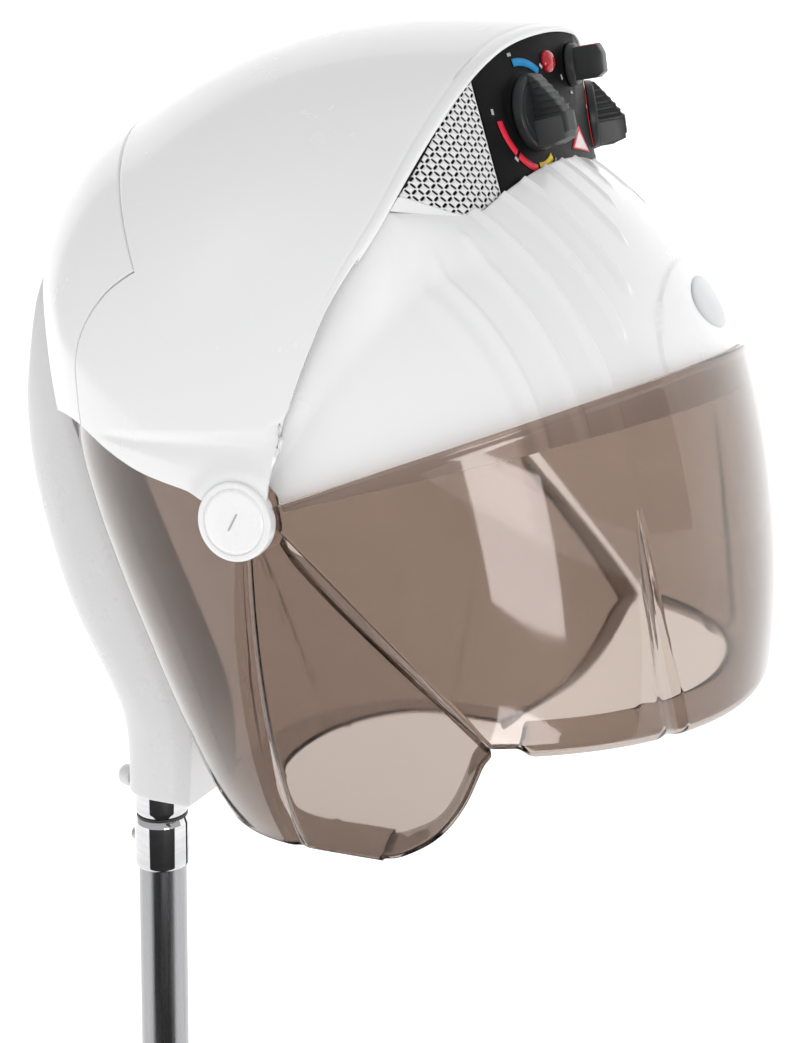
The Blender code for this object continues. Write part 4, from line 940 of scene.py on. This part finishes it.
def make_bowl():
    dense = [np.linspace(side * place - reach, side * place + reach, count) for place, reach, count in
             ((0.6, 0.03, 31), (0.15, 0.05, 25)) for side in (-1, 1)]
    around = np.unique(np.concatenate([np.linspace(-1, 1, 221), *dense]))
    back = np.maximum(0.0, 1 - np.abs(around) / 0.6)
    top = BOWL_TOP[1] + (BOWL_TOP[0] - BOWL_TOP[1]) * np.sin(back * math.pi / 2)
    rows = []
    for level in np.concatenate([np.linspace(1, 0.1, 70), np.linspace(0.09, 0.0, 10)]):
        z = BOWL_RIM_Z + (top - BOWL_RIM_Z) * level
        row = bowl(around, z)
        inward = -level_from(row, BOWL_Y)
        drop = np.clip((495 - row[:, 2]) / 170, 0, 1)
        wide = 1.3 + 2.2 * drop
        pleat = np.exp(-((row[:, 1] - BOWL_Y - 1) / wide) ** 2) * (np.abs(around) > 0.45)
        pleat = pleat + np.exp(-((np.abs(row[:, 0]) - 70) / wide) ** 2) * (np.abs(around) < 0.45)
        depth = (0.9 + 1.3 * drop) * ease((505 - row[:, 2]) / 20)
        row = row + inward * (pleat * depth)[:, None]
        lip = 18.0 * ease(np.clip((0.86 - level) / 0.1, 0, 1)) + 13.0 * float(ease((0.2 - level) / 0.2)) ** 1.5
        left, right = [], []
        for edge, store in ((row[0], left), (row[-1], right)):
            away = -level_from(edge[None], OPENING_Y)[0]
            for reach, bend in BOWL_LIP:
                store.append(edge + away * lip * reach + np.array([0, -2.0 * min(1, lip) * (bend - reach), 0]))
        rows.append([*left[::-1], *row, *right])
    rim = np.array(rows[-1])
    towards = -level_from(rim, OPENING_Y)
    scale = np.ones(len(rim))
    for k in range(6):
        scale[k] = scale[-1 - k] = 0.05 + 0.95 * (k / 6) ** 1.5
    for reach, rise in BOWL_FLANGE:
        rows.append(rim + towards * (reach * scale)[:, None] + np.array([0, 0, rise]))
    skin_piece("bowl_shell", rows, (0, -190, 430), 2.6, 0.5, "hood", BOWL_SMOKE, "smoked_plastic", ("rear_bowl",))


def make_pivots():
    for side, word in SIDES:
        place = at((0, *HINGE), (side, 0, 0))
        cap = [(0, 203.8), (0, 207.9), (9, 207.95), (14.6, 207.7), (15.8, 207.0), (16.2, 206.0), (16.2, 203.8)]
        mesh = turned_mesh("cap", cap, place=place)
        rod = turned_mesh("rod", [(0, 183), (5, 183), (5, 203.9), (0, 203.9)], 48, place, 0.4)
        cap_mesh = join("pivot_cap", mesh, rod)
        new_object(f"pivot_cap_{word}", cap_mesh, "hood", PIVOT_WHITE, "gloss_white", (f"visor_pivot_{word}",))
        slot = grip_mesh("slot", 1.1, 9.5, 0.3, ends=(0.9, 0.9))
        lean = Matrix.Rotation(math.radians(-28 if side < 0 else 28), 4, "Z")
        quarter = Matrix.Rotation(math.radians(90), 4, "Z")
        slot.transform(place @ Matrix.Translation((0, 0, 0.2078)) @ quarter @ lean)
        new_object(f"pivot_slot_{word}", slot, "hood", GREY, "grey_plastic")


# Arm and column

def arm_rows(heights, columns):
    rows = []
    for z in heights:
        rear, front = float(through(ARM_REAR, z)), float(through(ARM_FRONT, z))
        width = ARM_HALF_WIDTH - 6.0 * max(0.0, (z - 600.0) / 34.0)
        depth = min(30.0, (rear - front) * 0.6)
        middle = (front + rear - depth) / 2
        side = [(width - 1.2, front, z), (width - 0.35, front + 0.4, z), (width, front + 1.2, z), (width, middle, z)]
        back = [(-width * math.cos(turn), rear - depth + depth * math.sin(turn) ** 0.9, z)
                for turn in np.linspace(0, math.pi, columns)]
        rows.append([*[(-x, y, z) for x, y, z in side], *back, *side[::-1]])
    return np.array(rows)


def make_arm():
    heights = np.concatenate([[276, 276.5, 277.4], np.linspace(279, 630, 90), [632.5, 633.6, 634]])
    grid = arm_rows(heights[::-1], 45)
    for index, inset in ((0, 0.8), (1, 0.3), (-1, 0.8), (-2, 0.3)):
        grid[index, :, :2] -= unit(grid[index, :, :2] - grid[index, :, :2].mean(0)) * inset
    # The arm's pieces wear the darker copy of the white ABS, which is painted shade.
    skin_piece("arm_moulding", grid, (0, -60, 450), 2.2, 0.3, "arm", SHADED_ARM_WHITE, "gloss_white", ("arm_shell",))
    width = ARM_HALF_WIDTH - 2.6
    x = np.linspace(-width, width, 15)
    rows = [[(a, float(through(ARM_FRONT, z)) + 0.6, z) for a in x] for z in np.linspace(276, 574, 80)]
    skin_piece("arm_cover_moulding", rows, (0, 200, 400), 2.5, 0.2, "arm", SHADED_ARM_WHITE, "gloss_white",
               ("arm_front_cover",))
    gland = [(4.8, 10.0), (6.8, 7.8), (7.7, 2.8), (7.7, 0), (3.0, 0), (3.0, 10.0)]
    shape = {"steps": 48, "place": at((0, 21.4, 279.5), (0, 1, 0)), "radius": 0.6}
    turned_piece("gland_moulding", gland, shape, "arm", SHADED_ARM_WHITE, "grey_plastic", ("cord_gland",))
    y, z = TILT
    rows = []
    for angle in np.linspace(5, 112, 40):
        turn = math.radians(angle)
        rows.append([(a, y + 21.0 * math.cos(turn), z + 21.0 * math.sin(turn)) for a in np.linspace(-21, 21, 15)])
    skin_piece("hinge_cover_moulding", rows, (0, y, z), 3.0, 0.3, "hood", WHITE, "gloss_white", ("hinge_cover",))


def make_column():
    high = span("column_tube")[1]
    tube = [(14.2, 4.0), (16.0, 4.0), (16.0, high), (14.2, high)]
    turned_piece("column_pipe", tube, {}, "column", TUBE_STEEL_SHADED, "satin_tube", ("column_tube",))
    plug = [(0, 0), (15.9, 0), (15.9, 3.6), (13.8, 3.6), (13.8, 30), (0, 30)]
    turned_piece("foot_plug", plug, {}, "column", NYLON, "nylon_black", ("column_foot_plug",))
    low, high = span("swivel_collar")
    collar = [(16.5, low), (17.0, low), (18.6, low + 2.0), (18.6, high - 4.0), (17.1, high), (16.5, high)]
    mesh = turned_mesh("collar_ring", collar, radius=0.8)
    cut_window(mesh, (-1, -30, low - 5), (1, -10, high + 5))
    new_object("collar_ring", mesh, "column", CHROME, "chrome", ("swivel_collar",))
    low, high = span("arm_sleeve")
    sleeve = [(16.5, low), (16.8, low), (18.0, low + 3.0), (18.0, 275.6), (17.6, 276), (17.6, high), (16.5, high)]
    turned_piece("sleeve_ring", sleeve, {"radius": 0.8}, "arm", CHROME, "chrome", ("arm_sleeve",))


def make_bonnet():
    low, high = span("inner_bonnet")
    rise = (high - low) / math.cos(BONNET_TIP)
    outer = [(156.0 * math.sin(turn), low + rise * math.cos(turn)) for turn in np.linspace(BONNET_TIP, math.pi / 2, 24)]
    outer.append((171.4, low))
    mesh = turned_mesh("bonnet_shell", outer + [(171.4, low + 1.8), (157.5, low + 2.0)]
                       + [(r + 1.4, z + 1.6) for r, z in outer[-2::-1]][1:], 128, at((0, FAN_Y, 0)), 0.2)
    new_object("bonnet_shell", mesh, "hood", BONNET, "bonnet_white", ("inner_bonnet",))


def dress_hidden_nodes():
    """Gives the frame's own meshes, where no finer piece replaces them, a finish for their material."""
    finishes = {"steel": STEEL, "zinc_plate": ZINC, "nylon_black": NYLON, "grey_plastic": GREY,
                "switch_plastic": SWITCH, "mica_board": MICA, "gloss_white": WHITE}
    slots = {part["node"]: part["material_slot"] for part in frame["record"]["subparts"]}
    for name, obj in frame["nodes"].items():
        if obj.hide_render:
            continue
        for place in obj.material_slots:
            place.material = finishes[slots[name]]


# Studio

def make_stage():
    far = 9000
    n = Nodes("floor_pale")
    n.drive(Base_Color=n.ramp(n.noise(0.6, 2.0), (0.3, (0.93, 0.93, 0.93)), (0.7, (0.96, 0.96, 0.96))))
    n.set(Roughness=0.9, Emission_Color=(1, 1, 1, 1), Emission_Strength=0.55)
    for name, corners in (("floor", [(-far, -far, -2), (far, -far, -2), (far, far, -2), (-far, far, -2)]),
                          ("backdrop", [(3200, -far, -2), (3200, far, -2), (3200, far, 7000), (3200, -far, 7000)])):
        mesh = mesh_from(name, corners, [(0, 1, 2, 3)])
        mesh.materials.append(n.material)
        linked(name, mesh)
    world = bpy.data.worlds.new("studio")
    bpy.context.scene.world = world
    world.use_nodes = True
    light = world.node_tree.nodes["Background"].inputs
    light["Color"].default_value = (1, 1, 1, 1)
    light["Strength"].default_value = 0.57


def make_dark_flag():
    """A dark card on the floor before the column, which only mirrors see."""
    heading = math.atan2(-0.516, -0.856)
    turns = heading + np.radians(np.linspace(-56, 50, 12))
    corners = [(0, 0, 0.5), *[(3500 * math.cos(turn), 3500 * math.sin(turn), 0.5) for turn in turns]]
    mesh = mesh_from("dark_flag", corners, [(0, i, i + 1) for i in range(1, 12)])
    flag = linked("dark_flag", mesh)
    mesh.materials.append(moulded("flag_cloth", (0.02, 0.02, 0.02), (0.8, 0.9), 0.0))
    flag.visible_camera = flag.visible_diffuse = flag.visible_transmission = flag.visible_shadow = False


def area_light(name, place, target, size, power, colour=(1, 1, 1)):
    data = bpy.data.lights.new(name, "AREA")
    data.shape = "RECTANGLE"
    data.size, data.size_y = size
    data.energy = power
    data.color = colour
    obj = linked(name, data)
    obj.location = place
    obj.rotation_euler = (Vector(target) - Vector(place)).to_track_quat("-Z", "Y").to_euler()
    return obj


def make_camera():
    forward = Vector((0.92046, 0.36171, -0.14803)).normalized()
    right = Vector((0.367286, -0.930039, 0.011298)).normalized()
    up = right.cross(forward)
    data = bpy.data.cameras.new("camera")
    data.sensor_width = 36.0
    data.lens = 50.02
    data.shift_y = -0.080
    data.clip_start = 0.05
    camera = linked("camera", data)
    camera.matrix_world = Matrix.Translation((-0.81065, -0.48838, 0.65435)) @ Matrix(
        (right, up, -forward)).transposed().to_4x4()
    bpy.context.scene.camera = camera


make_casing()
make_dome()
make_control_face()
make_knobs()
make_grilles()
make_visor()
make_bowl()
make_pivots()
make_arm()
make_column()
make_bonnet()
dress_hidden_nodes()
make_stage()
strip = area_light("strip_softbox", (-0.94, -1.01, 0.334), (-0.14, -0.36, 0.48), (0.45, 0.39), 4.0, (1.0, 0.98, 1.0))
strip.visible_diffuse = False
fill = area_light("front_fill", (-1.62, -1.52, 0.6), (-0.17, -0.29, 0.5), (0.62, 0.74), 8.0)
fill.visible_glossy = False
key = area_light("side_key", (-1.6, 1.9, 2.6), (0, -0.17, 0.6), (1.0, 1.0), 13.0)
key.visible_glossy = False
area_light("top_softbox", (-0.3, -0.5, 2.3), (0, -0.15, 0.5), (1.4, 1.4), 1.5)
make_dark_flag()
make_camera()
bpy.context.scene.view_settings.view_transform = "Standard"
